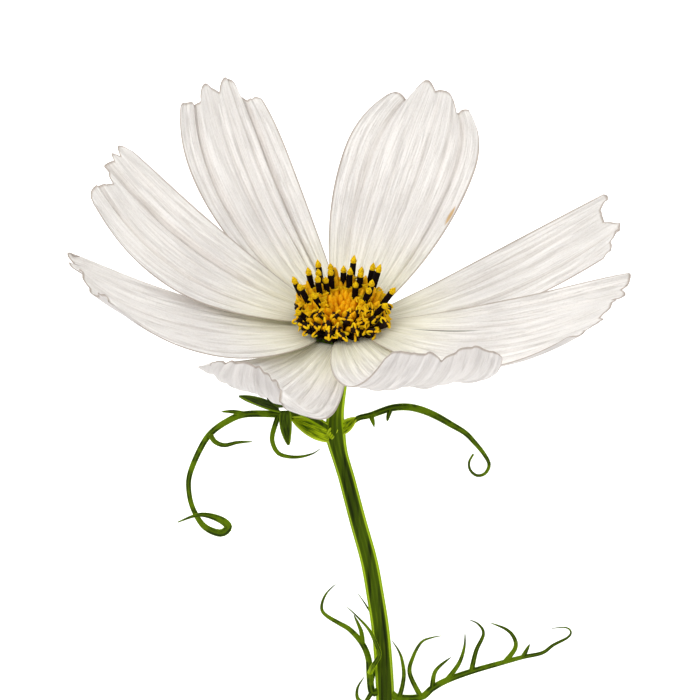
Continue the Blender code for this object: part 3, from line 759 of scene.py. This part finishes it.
def thread_rule():
    """A ribbed stem or thread along each line of a curve."""
    rule = Rule("ribbed_thread", (
        ("Material", "Material"), ("Start Radius", "Float"), ("End Radius", "Float"),
        ("Swelling", "Float"), ("Swelling At", "Float"), ("Ribs", "Int"), ("Rib Depth", "Float"),
        ("Flatness", "Float"), ("Sides", "Int"),
    ))
    given, calc_ = rule.inputs, rule.calc
    share = rule.add("GeometryNodeSplineParameter").outputs[0]
    span = calc_("SUBTRACT", given["End Radius"], given["Start Radius"])
    radius = calc_("ADD", given["Start Radius"], calc_("MULTIPLY", share, span))
    away = calc_("DIVIDE", calc_("SUBTRACT", share, given["Swelling At"]), 0.035)
    swelling = calc_("EXPONENT", calc_("MULTIPLY", calc_("MULTIPLY", away, away), -1.0))
    radius = calc_("ADD", radius, calc_("MULTIPLY", given["Swelling"], swelling))
    radius = calc_("MULTIPLY", radius, rule.add("GeometryNodeInputRadius").outputs[0])
    curve = rule.add("GeometryNodeStoreNamedAttribute", {
        "Geometry": rule.inputs["Geometry"], "Name": "along", "Value": share,
    }, data_type="FLOAT", domain="POINT").outputs[0]

    circle = rule.add("GeometryNodeCurvePrimitiveCircle",
                      {"Resolution": given["Sides"], "Radius": 1.0}).outputs[0]
    step = calc_("DIVIDE", 2 * math.pi, given["Sides"])
    angle = calc_("MULTIPLY", rule.add("GeometryNodeInputIndex").outputs[0], step)
    rib = calc_("COSINE", calc_("MULTIPLY", angle, given["Ribs"]))
    swell = calc_("ADD", 1.0, calc_("MULTIPLY", rib, given["Rib Depth"]))
    tall = calc_("MULTIPLY", calc_("MULTIPLY", swell, given["Flatness"]), calc_("SINE", angle))
    wide = calc_("MULTIPLY", swell, calc_("COSINE", angle))
    ribbed = rule.add("GeometryNodeSetPosition", {
        "Geometry": circle, "Position": rule.add("ShaderNodeCombineXYZ", {0: wide, 1: tall}).outputs[0],
    }).outputs[0]
    # rib drives the painted shade in the valleys and the lighter ribs of the skin
    ribbed = rule.add("GeometryNodeStoreNamedAttribute", {
        "Geometry": ribbed, "Name": "rib", "Value": rib,
    }, data_type="FLOAT", domain="POINT").outputs[0]
    skin = rule.add("GeometryNodeCurveToMesh", {
        "Curve": curve, "Profile Curve": ribbed, "Scale": radius, "Fill Caps": True,
    }).outputs[0]
    # flank: how far the surface faces sideways, for the painted light on the flanks
    facing = rule.add("ShaderNodeSeparateXYZ", {0: rule.add("GeometryNodeInputNormal").outputs[0]}).outputs[2]
    flank = calc_("SUBTRACT", 1.0, calc_("ABSOLUTE", facing))
    skin = rule.add("GeometryNodeStoreNamedAttribute", {
        "Geometry": skin, "Name": "flank", "Value": flank,
    }, data_type="FLOAT", domain="POINT").outputs[0]
    rule.end(skin)
    return rule


def smooth_route(points, spacing):
    """The route's points, with more read from a smooth curve between them."""
    points = [Vector(point) for point in points]
    route = [points[0]]
    for i in range(len(points) - 1):
        before = points[max(i - 1, 0)]
        start, end = points[i], points[i + 1]
        after = points[min(i + 2, len(points) - 1)]
        count = max(1, round((end - start).length / spacing))
        for k in range(1, count + 1):
            t = k / count
            route.append(0.5 * (2 * start + (end - before) * t
                                + (2 * before - 5 * start + 4 * end - after) * t * t
                                + (3 * start - before - 3 * end + after) * t**3))
    return route


def route_holder(name, routes, widths, spacing, base=Vector()):
    """A curve object with one line for each route, each point's radius set by its width rule."""
    curve = bpy.data.curves.new(name, "CURVE")
    curve.dimensions = "3D"
    curve.twist_mode = "Z_UP"
    for points, width in zip(routes, widths):
        route = smooth_route(points, spacing)
        line = curve.splines.new("POLY")
        line.points.add(len(route) - 1)
        for i, place in enumerate(route):
            line.points[i].co = (*((place + base) * MM), 1.0)
            line.points[i].radius = width(i / (len(route) - 1))
    obj = bpy.data.objects.new(name, curve)
    bpy.context.scene.collection.objects.link(obj)
    return obj


# The disc


def make_floret_parts():
    """One of each part, standing on its foot along +Z; the tree repeats them."""
    def levelled(obj):
        heights = np.array([vert.co.z for vert in obj.data.vertices]) / MM
        store(obj, "along", heights / heights.max())
        return obj

    bud = levelled(turned("bud", (
        (0.18, 0.0), (0.34, 0.8), (0.44, 1.8), (0.47, 2.5), (0.40, 3.1), (0.24, 3.5), (0.05, 3.7),
    ), 15, None, waves=(0, 0, 0.04, 0.10, 0.16, 0.22, 0.1)))
    corolla = levelled(turned("corolla", (
        (0.26, 0.0), (0.32, 1.4), (0.44, 2.8), (0.52, 3.8), (0.56, 4.4), (0.62, 4.9), (0.74, 5.2),
        (0.66, 5.16), (0.48, 4.7), (0.30, 4.5),
    ), 15, None, waves=(0, 0, 0.03, 0.06, 0.14, 0.40, 0.52, 0.52, 0.14, 0.0)))
    anthers = levelled(turned("anthers", (
        (0.30, 2.2), (0.40, 3.4), (0.43, 4.6), (0.43, 6.7), (0.36, 6.85), (0.43, 6.95), (0.40, 7.2),
        (0.22, 7.6), (0.03, 7.9),
    ), 10, None, waves=(0.04, 0.08, 0.08, 0.08, 0.08, 0.16, 0.16, 0.1, 0.0)))
    spent = levelled(turned("spent_anthers", (
        (0.46, -0.2), (0.52, 2.2), (0.58, 4.0), (0.56, 4.9), (0.42, 5.1), (0.08, 5.15),
    ), 10, None, waves=(0.04, 0.08, 0.12, 0.2, 0.2, 0.0)))
    scale = levelled(turned("chaff_scale", (
        (0.25, -0.2), (0.40, 1.0), (0.36, 2.2), (0.20, 3.1), (0.03, 3.6),
    ), 8, None))
    arms = []
    for side in (1, -1):
        curl = np.linspace(0, 1, 12)
        bend = 5.6 * curl**1.1
        reach = np.cumsum(np.sin(bend) * 0.19)
        climb = np.cumsum(np.cos(bend) * 0.19)
        centres = np.stack([side * (0.08 + reach), 0.5 * side * curl, 4.7 + climb], axis=1)
        radii = 0.11 + 0.07 * np.sin(math.pi * curl**0.7)
        radii[-1] = 0.04
        arms.append(swept("stigma_arm", centres, radii, 6, None))
    for arm in arms:
        along = np.repeat(np.linspace(0, 1, 12), 6)
        store(arm, "along", along)
    bpy.ops.object.select_all(action="DESELECT")
    for arm in arms:
        arm.select_set(True)
    bpy.context.view_layer.objects.active = arms[0]
    bpy.ops.object.join()
    stigma = bpy.context.view_layer.objects.active
    return bud, corolla, anthers, spent, scale, stigma


def make_disc():
    orange = floret_finish(
        "floret_orange", (0.85, 0.30, 0.001), (1.0, 0.52, 0.002), (1.0, 0.66, 0.004), 0.6, 0.10)
    bud_orange = floret_finish(
        "bud_orange", (0.85, 0.26, 0.001), (1.0, 0.44, 0.002), (1.0, 0.54, 0.003), 0.6, 0.10)
    dark = floret_finish(
        "anther_brown", (0.020, 0.006, 0.002), (0.014, 0.005, 0.003), (0.014, 0.005, 0.003), 0.7, 0.3)
    gold = floret_finish(
        "stigma_gold", (0.95, 0.50, 0.002), (1.0, 0.66, 0.003), (1.0, 0.78, 0.010), 0.6, 0.1)
    tipped = anther_finish()
    bud, corolla, anthers, spent, scale, stigma = parts = make_floret_parts()
    rule = floret_rule()
    shared = {
        "Count": FLORETS, "Disc Radius": DISC_RADIUS * MM, "Turn": math.radians(GOLDEN_ANGLE),
        "Foot": FLORET_FOOT * MM, "Dome": DISC_DOME * MM, "Lean": math.radians(20),
        "Front Lean": math.radians(46), "Seed": 3, "Front Length": 0.78, "Length At Middle": 0.60,
        "Length At Rim": 1.0, "Front From": -2.0, "Front To": 2.0, "Inner Radius": BUDS_WITHIN * MM,
        "Outer Radius": 1.0,
    }
    open_nodes = [f"open_floret_{number:02d}" for number in range(1, 17)]
    inner = {"Count": 60, "Disc Radius": 4.5 * MM}
    outermost = {"Disc Radius": 4.5 * MM, "Count": 110, "Inner Radius": 3.9 * MM, "Lean": math.radians(35)}
    rows = (
        ("unopened_floret_buds", bud, bud_orange, "floret_orange", ["unopened_florets"],
         {"Count": 150, "Inner Radius": 0.0, "Outer Radius": 3.5 * MM, "Length At Middle": 0.70,
          "Length At Rim": 1.85, "Lean": math.radians(26), "Front Length": 0.5}),
        ("open_floret_corollas", corolla, orange, "floret_orange", open_nodes,
         {"Front To": 0.5, "Length At Middle": 0.6, "Length At Rim": 0.86}),
        ("inner_floret_corollas", corolla, orange, "floret_orange", open_nodes,
         {**inner, "Inner Radius": 1.6 * MM, "Outer Radius": 3.3 * MM, "Front To": 0.9,
          "Length At Rim": 1.12, "Seed": 9}),
        ("open_floret_anthers", anthers, tipped, "anther_brown", open_nodes,
         {"Count": 38, "Disc Radius": 4.1 * MM, "Front To": 0.55, "Lean": math.radians(17),
          "Length At Rim": 1.07}),
        ("front_floret_anthers", spent, dark, "anther_brown", open_nodes, {**inner, "Front From": 0.4}),
        ("front_floret_stigmas", stigma, gold, "floret_orange", open_nodes, {**inner, "Front From": 0.2}),
        ("rim_floret_corollas", corolla, orange, "floret_orange", open_nodes,
         {**outermost, "Count": 70, "Front To": 0.6, "Length At Rim": 0.62}),
        ("rim_floret_stigmas", stigma, gold, "floret_orange", open_nodes,
         {**outermost, "Length At Rim": 0.78, "Front Lean": math.radians(30), "Seed": 11}),
        ("rim_floret_anthers", spent, dark, "anther_brown", open_nodes,
         {**outermost, "Length At Rim": 0.72, "Front Lean": math.radians(30)}),
        # near-black chaff scales round the disc's rim: partly real chaff, partly painted shade between the
        # florets
        ("chaff_scales", scale, dark, "anther_brown", open_nodes,
         {**outermost, "Count": 160, "Disc Radius": 4.65 * MM, "Lean": math.radians(46),
          "Length At Rim": 0.7, "Front Lean": math.radians(34)}),
    )
    for name, part, material, slot, nodes, changes in rows:
        holder = add_mesh("holder", [(0, 0, 0)], [], None)
        obj = rule.grow(name, holder, {**shared, "Floret": part, "Material": material, **changes}, HEAD_FRAME)
        keep(obj, slot, *nodes)
    for part in parts:
        bpy.data.objects.remove(part, do_unlink=True)


def anther_finish():
    """Near-black tube with a crown of ochre pollen."""
    material, tree, shader = new_finish("anther_tube", 0.75, Specular_IOR_Level=0.05)
    place = shader_node(tree, "ShaderNodeTexCoord").outputs["Object"]
    dust = grain(tree, place, (4200.0, 4200.0, 4200.0), detail=2.0)
    along = attribute(tree, "along")
    pollen = blend_colour(tree, between(tree, dust, 0.35, 0.65), (0.95, 0.62, 0.005), (0.62, 0.36, 0.004))
    crown = between(tree, along, 0.850, 0.862)
    colour = blend_colour(tree, crown, (0.006, 0.002, 0.002), pollen)
    finish_with(tree, shader, colour, dust, 0.00014, 0.8)
    return material


# Green parts

UPPER_LEFT_LEAF = (
    ((-1.9, 0.7, 0.2), (-6.2, 2.6, 0.6), (-8.3, 2.8, 0.6), (-13.2, 2.8, 0.8), (-16.0, 1.7, 0.8),
     (-18.4, -0.1, 0.6), (-20.0, -2.6, 0.2), (-21.4, -6.0, -0.5), (-21.6, -8.5, -1.2),
     (-21.0, -11.2, -1.8), (-19.4, -13.8, -2.2), (-17.0, -14.8, -2.0), (-15.8, -13.8, -1.2),
     (-17.2, -12.6, -0.6), (-20.0, -12.0, -0.3), (-23.2, -13.1, -0.4)),
    ((-18.4, -0.1, 0.6), (-17.6, -1.2, 1.6), (-16.2, -1.7, 1.8), (-14.3, -1.3, 1.6), (-12.1, -1.2, 1.2)),
    ((-8.3, 2.8, 0.6), (-9.2, -0.1, 1.4), (-9.1, -1.6, 1.6), (-8.3, -2.9, 1.6), (-6.8, -3.4, 1.4),
     (-5.0, -3.4, 1.2), (-3.2, -2.9, 1.2), (-2.2, -2.2, 1.8)),
    ((-13.2, 2.8, 0.8), (-15.0, 3.2, 1.6), (-16.7, 3.2, 2.0)),
)

UPPER_RIGHT_LEAF = (
    ((1.7, 0.9, 0.2), (3.3, 2.2, 0.8), (5.2, 2.7, 1.2), (8.1, 3.7, 1.6), (10.4, 3.9, 1.8), (12.5, 3.5, 1.8),
     (14.7, 2.6, 1.6), (17.0, 1.3, 1.2), (19.0, 0.1, 0.8), (20.4, -1.3, 0.4), (21.8, -3.0, 0.0),
     (22.6, -4.6, -0.2), (22.0, -5.9, 0.0), (20.8, -6.2, 0.4), (19.8, -5.4, 0.9), (19.6, -4.2, 1.3),
     (20.2, -3.0, 1.8)),
    ((5.2, 2.7, 1.2), (5.6, 1.4, 1.4), (5.7, 0.9, 1.5)),
    ((8.1, 3.7, 1.6), (7.7, 2.4, 1.9), (7.6, 1.8, 2.0)),
)

LOWER_LEFT_LEAF = (
    ((-1.9, -0.6, 0.4), (-2.3, 2.2, 0.5), (-2.5, 4.6, 0.8), (-3.4, 6.8, 1.4), (-5.2, 8.9, 1.8),
     (-7.0, 10.0, 2.0), (-8.5, 10.9, 2.2), (-9.4, 11.8, 2.4), (-9.4, 13.1, 2.8), (-8.7, 14.6, 3.2),
     (-7.4, 15.9, 3.6)),
    ((-2.3, 2.2, 0.5), (-1.8, 3.6, 2.8), (-0.9, 5.4, 3.9), (-1.4, 7.1, 4.4), (-2.4, 9.2, 4.8),
     (-4.2, 11.2, 4.8), (-5.7, 12.6, 4.6)),
    ((-3.4, 6.8, 1.4), (-3.6, 8.8, 2.2), (-4.7, 11.3, 2.8)),
    ((-1.9, -0.6, 0.4), (-3.0, -2.0, 0.8), (-4.1, -1.4, 1.4), (-4.1, 0.3, 2.0), (-3.1, 2.0, 2.6)),
    ((-1.9, -0.6, 0.4), (-2.0, 0.8, -1.5), (-1.0, 5.5, -1.7), (-1.6, 10.0, -1.0), (-2.7, 12.2, -0.4),
     (-4.1, 14.3, 0.2)),
)

LOWER_RIGHT_LEAF = (
    ((2.0, -1.4, 0.4), (5.4, -1.3, 0.4), (7.1, 0.0, 0.4), (9.3, 1.2, 0.3), (13.0, 2.5, 0.0),
     (18.1, 3.9, -0.4), (20.8, 4.6, -0.6), (23.7, 5.2, -0.8), (25.4, 6.4, -0.8), (27.5, 7.5, -0.7),
     (28.0, 8.4, -0.4), (27.2, 9.1, 0.0), (25.0, 9.0, 0.4)),
    ((9.3, 1.2, 0.3), (11.1, 3.8, 0.9), (11.9, 6.3, 1.2), (12.0, 8.4, 1.2)),
    ((13.0, 2.5, 0.0), (13.7, 5.6, 0.3), (14.8, 8.2, 0.6), (14.0, 9.7, 0.9), (12.6, 10.4, 1.2)),
    ((18.1, 3.9, -0.4), (19.6, 6.0, 0.0), (19.4, 7.6, 0.4), (18.2, 8.9, 0.7), (15.8, 9.9, 0.9)),
    ((20.8, 4.6, -0.6), (21.8, 6.6, -0.2)),
    ((7.1, 0.0, 0.4), (7.6, 2.7, 1.0), (9.9, 4.8, 1.4)),
    ((5.4, -1.3, 0.4), (3.7, 2.4, 1.8), (4.2, 5.0, 2.6), (5.4, 7.2, 3.2), (6.9, 7.9, 3.4), (8.5, 8.2, 3.4)),
    ((2.0, -1.4, 0.4), (2.8, 1.8, 1.8), (2.5, 4.6, 3.2), (1.9, 6.2, 4.2), (1.0, 7.6, 5.0)),
)


def even(share):
    """A line that keeps to its rule's own radii all the way."""
    return 1.0


def tapering(share):
    """Threads keep their width for most of their length and end in a point."""
    return 0.10 + 0.90 * (1 - share**5) * (1 - 0.35 * share)


def branching(share):
    """The side threads are thinner than the one that they branch from."""
    return 0.72 * tapering(share)


def curled_blade(share):
    """The long left thread broadens into a small blade where it curls round at its end."""
    return tapering(share) + 0.75 * math.exp(-(((share - 0.84) / 0.11) ** 2))


def swollen(share):
    """The long right thread is thin at its foot, broadest a third of the way along, then thins."""
    return 0.45 + 0.55 * math.exp(-(((share - 0.38) / 0.34) ** 2)) - 0.15 * share**8


LONG_THREAD_WIDTHS = {"upper_left_leaf": curled_blade, "upper_right_leaf": swollen}


def make_stem(rule, material):
    axis = Vector((0.0, math.cos(math.radians(HEAD_TILT)), math.sin(math.radians(HEAD_TILT))))
    route = (
        axis * (RECEPTACLE_FOOT + 0.4),
        axis * -9.0 + Vector((-0.4, 0.0, 0.0)),
        UPPER_NODE,
        (0.8, -22.6, -10.2),
        (2.3, -28.4, -11.6),
        (3.9, -34.2, -13.2),
        (4.8, -39.0, -14.4),
        (5.8, -45.8, -16.3),
        LOWER_NODE,
        (6.6, -62.0, -20.7),
        STEM_END,
    )
    holder = route_holder("stem_line", [route], [even], STEM_SPACING)
    obj = rule.grow("stem_ribbed", holder, {
        "Material": material, "Start Radius": PEDICEL_RADIUS * MM, "End Radius": STEM_END_RADIUS * MM,
        "Swelling": 0.3 * MM, "Swelling At": 0.2, "Ribs": 8, "Rib Depth": 0.055, "Flatness": 1.0, "Sides": 64,
    }, PLANT_FRAME)
    keep(obj, "stem_green", "stem")


def make_leaves(rule, material):
    for name, node, threads in (
        ("upper_left_leaf", UPPER_NODE, UPPER_LEFT_LEAF),
        ("upper_right_leaf", UPPER_NODE, UPPER_RIGHT_LEAF),
        ("lower_left_leaf", LOWER_NODE, LOWER_LEFT_LEAF),
        ("lower_right_leaf", LOWER_NODE, LOWER_RIGHT_LEAF),
    ):
        widths = [LONG_THREAD_WIDTHS.get(name, tapering)] + [branching] * (len(threads) - 1)
        end_share = 0.8 if name in LONG_THREAD_WIDTHS else 0.7
        foot = threads[0][0]
        rooted = Vector(foot) * LEAF_FOOT_DEPTH
        routes = [(rooted, *points) if points[0] == foot else points for points in threads]
        holder = route_holder(name + "_lines", routes, widths, ROUTE_SPACING, node)
        obj = rule.grow(name + "_threads", holder, {
            "Material": material, "Start Radius": THREAD_RADIUS * MM,
            "End Radius": THREAD_RADIUS * end_share * MM, "Swelling": 0.0, "Swelling At": 0.0, "Ribs": 4,
            "Rib Depth": 0.12, "Flatness": 0.80, "Sides": 24,
        }, PLANT_FRAME)
        keep(obj, "leaf_green", name)


def make_sheaths(material):
    """Where the upper leaves clasp the stem: a broad veined sheath on the left, a small one on the right."""
    for name, node, foot, heading, shape in (
        ("upper_left_sheath", "upper_left_leaf", (-0.7, -0.3, 0.9), 156.0, bract(10, -25, 6.2, 2.9, 0.8)),
        ("upper_right_sheath", "upper_right_leaf", (0.5, 0.3, 0.7), 38.0, bract(10, -20, 3.2, 1.9, 0.5)),
        ("upper_sheath_lip", "upper_left_leaf", (-0.9, -0.6, 1.0), 60.0, bract(20, -30, 2.6, 1.3, 0.3)),
    ):
        place = Matrix.Translation(HEAD + (UPPER_NODE + Vector(foot)) * MM)
        place = place @ Matrix.Rotation(math.radians(heading), 4, "Z")
        make_bract(name, node, shape, place, material, "leaf_green")


BUD_BASE = Vector((-7.9, -10.9, -4.6))
BUD_DIRECTION = Vector((-0.35, 0.75, 0.55)).normalized()
BUD_BRACTS = (
    # azimuth, rise, bend, length, width
    (30, 5, 20, 4.5, 1.6),
    (90, 42, 10, 6.4, 3.0),
    (150, -45, -10, 5.0, 2.0),
    (210, 5, 20, 4.5, 1.6),
    (270, 0, 20, 4.0, 1.5),
    (330, 0, 20, 4.5, 1.6),
)


def make_bud(rule, stem_material, bract_material):
    frame_of_bud = (Matrix.Translation(HEAD + BUD_BASE * MM)
                    @ BUD_DIRECTION.to_track_quat("Z", "Y").to_matrix().to_4x4())
    route = (UPPER_NODE + Vector((-0.6, 0.6, 0.5)), UPPER_NODE + Vector((-4.6, 3.0, 2.6)), BUD_BASE)
    holder = route_holder("bud_line", [route], [even], ROUTE_SPACING)
    obj = rule.grow("bud_stalk_ribbed", holder, {
        "Material": stem_material, "Start Radius": 0.55 * MM, "End Radius": 0.5 * MM, "Swelling": 0.12 * MM,
        "Swelling At": 1.0, "Ribs": 6, "Rib Depth": 0.07, "Flatness": 1.0, "Sides": 36,
    }, PLANT_FRAME)
    keep(obj, "stem_green", "bud_stalk")
    profile = ((0.5, 0.0), (1.3, 0.3), (2.0, 0.9), (2.3, 1.7), (2.38, 2.5), (2.25, 3.4), (1.9, 4.3),
               (1.4, 5.1), (0.8, 5.7), (0.25, 6.0))
    waves = (0.0, 0.02, 0.03, 0.04, 0.05, 0.06, 0.07, 0.08, 0.08, 0.0)
    head = turned("bud_head_scaled", profile, BUD_SIDES, bract_material, frame_of_bud, BUD_LOBES, waves)
    around = np.array([i / BUD_SIDES * BUD_LOBES % 1 for i in range(len(head.data.vertices))])
    heights = np.linspace(0, 1, len(head.data.vertices))
    store_uv(head, np.stack([heights, around], axis=1))
    keep(head, "bract_green", "bud_head")
    for number, (azimuth, rise, bend, length, width) in enumerate(BUD_BRACTS, 1):
        turn = math.radians(azimuth)
        radius = BUD_BRACT_RING_RADIUS * MM
        place = Matrix.Translation((radius * math.sin(turn), -radius * math.cos(turn), -0.1 * MM))
        place = frame_of_bud @ place @ Matrix.Rotation(turn - math.pi / 2, 4, "Z")
        make_bract(f"bud_bract_{number}_veined", f"bud_bract_{number}", bract(rise, bend, length, width),
                   place, bract_material, "bract_green")


def make_receptacle(material):
    profile = ((0.9, RECEPTACLE_FOOT), (1.8, -2.9), (3.4, -2.3), (4.3, -1.4), (RECEPTACLE_RADIUS, -0.6),
               (RECEPTACLE_RADIUS, RECEPTACLE_SHOULDER), (3.6, 0.65), (0.5, RECEPTACLE_TOP))
    waves = (0.0, 0.03, 0.04, 0.03, 0.01, 0.0, 0.0, 0.0)
    obj = turned("receptacle_cup", profile, 64, material, HEAD_FRAME, 8, waves)
    keep(obj, "stem_green", "receptacle")


# Stage


def make_stage():
    material, tree, shader = new_finish("floor_white", 0.9, Specular_IOR_Level=0.0)
    place = shader_node(tree, "ShaderNodeTexCoord").outputs["Object"]
    mottle = grain(tree, place, (60.0, 60.0, 60.0), detail=2.0)
    colour = blend_colour(tree, mottle, (0.92, 0.92, 0.92), (0.94, 0.94, 0.94))
    finish_with(tree, shader, colour)
    tree.links.new(colour, shader.inputs["Emission Color"])
    shader.inputs["Emission Strength"].default_value = FLOOR_GLOW
    corners = [(x * FLOOR_REACH, y * FLOOR_REACH, 0) for x, y in ((-1, -1), (1, -1), (1, 1), (-1, 1))]
    floor = add_mesh("floor", corners, [(0, 1, 2, 3)], material)

    world = bpy.data.worlds.new("soft_room")
    bpy.context.scene.world = world
    world.use_nodes = True
    background = world.node_tree.nodes["Background"]
    background.inputs["Color"].default_value = (1.0, 1.0, 1.0, 1.0)
    background.inputs["Strength"].default_value = ROOM_LIGHT

    for name, place, size, power in (
        ("window_left", (-0.42, 0.30, 0.50), 0.30, 1.9),
        ("window_right", (0.45, -0.20, 0.50), 0.40, 1.5),
    ):
        light = bpy.data.lights.new(name, "AREA")
        light.size = size
        light.energy = power
        obj = bpy.data.objects.new(name, light)
        bpy.context.scene.collection.objects.link(obj)
        obj.location = Vector(place) + HEAD
        obj.rotation_euler = (-Vector(place)).to_track_quat("-Z", "Y").to_euler()

    camera = bpy.data.cameras.new("camera")
    camera.lens = CAMERA_LENS
    camera.clip_start = 0.01
    camera.clip_end = 10.0
    obj = bpy.data.objects.new("camera", camera)
    bpy.context.scene.collection.objects.link(obj)
    obj.location = HEAD + Vector((*CAMERA_ASIDE, CAMERA_HEIGHT)) * MM
    bpy.context.scene.camera = obj
    bpy.context.scene.view_settings.view_transform = "Standard"


def main():
    stem_green = green_finish(
        "stem_green", (0.012, 0.022, 0.001), (0.050, 0.088, 0.001), (0.38, 0.55, 0.003),
        streaks=(1100.0, 9.0, 9.0), flank_light_from=0.22)
    leaf_green = green_finish(
        "leaf_green", (0.018, 0.036, 0.001), (0.105, 0.175, 0.001), (0.42, 0.60, 0.004),
        streaks=(420.0, 420.0, 420.0), flank_light_from=0.5)
    bract_green = bract_finish(
        "bract_green", (0.014, 0.026, 0.001), (0.075, 0.13, 0.002), (0.20, 0.31, 0.006))
    inner_green = bract_finish(
        "inner_bract_green", (0.30, 0.34, 0.14), (0.50, 0.54, 0.30), (0.62, 0.64, 0.46))
    sheath_green = bract_finish(
        "sheath_green", (0.04, 0.09, 0.001), (0.48, 0.62, 0.005), (0.60, 0.74, 0.04))
    thread = thread_rule()
    make_petals()
    make_bracts(bract_green, inner_green)
    make_receptacle(stem_green)
    make_disc()
    make_stem(thread, stem_green)
    make_leaves(thread, leaf_green)
    make_sheaths(sheath_green)
    make_bud(thread, stem_green, bract_green)
    make_stage()


main()
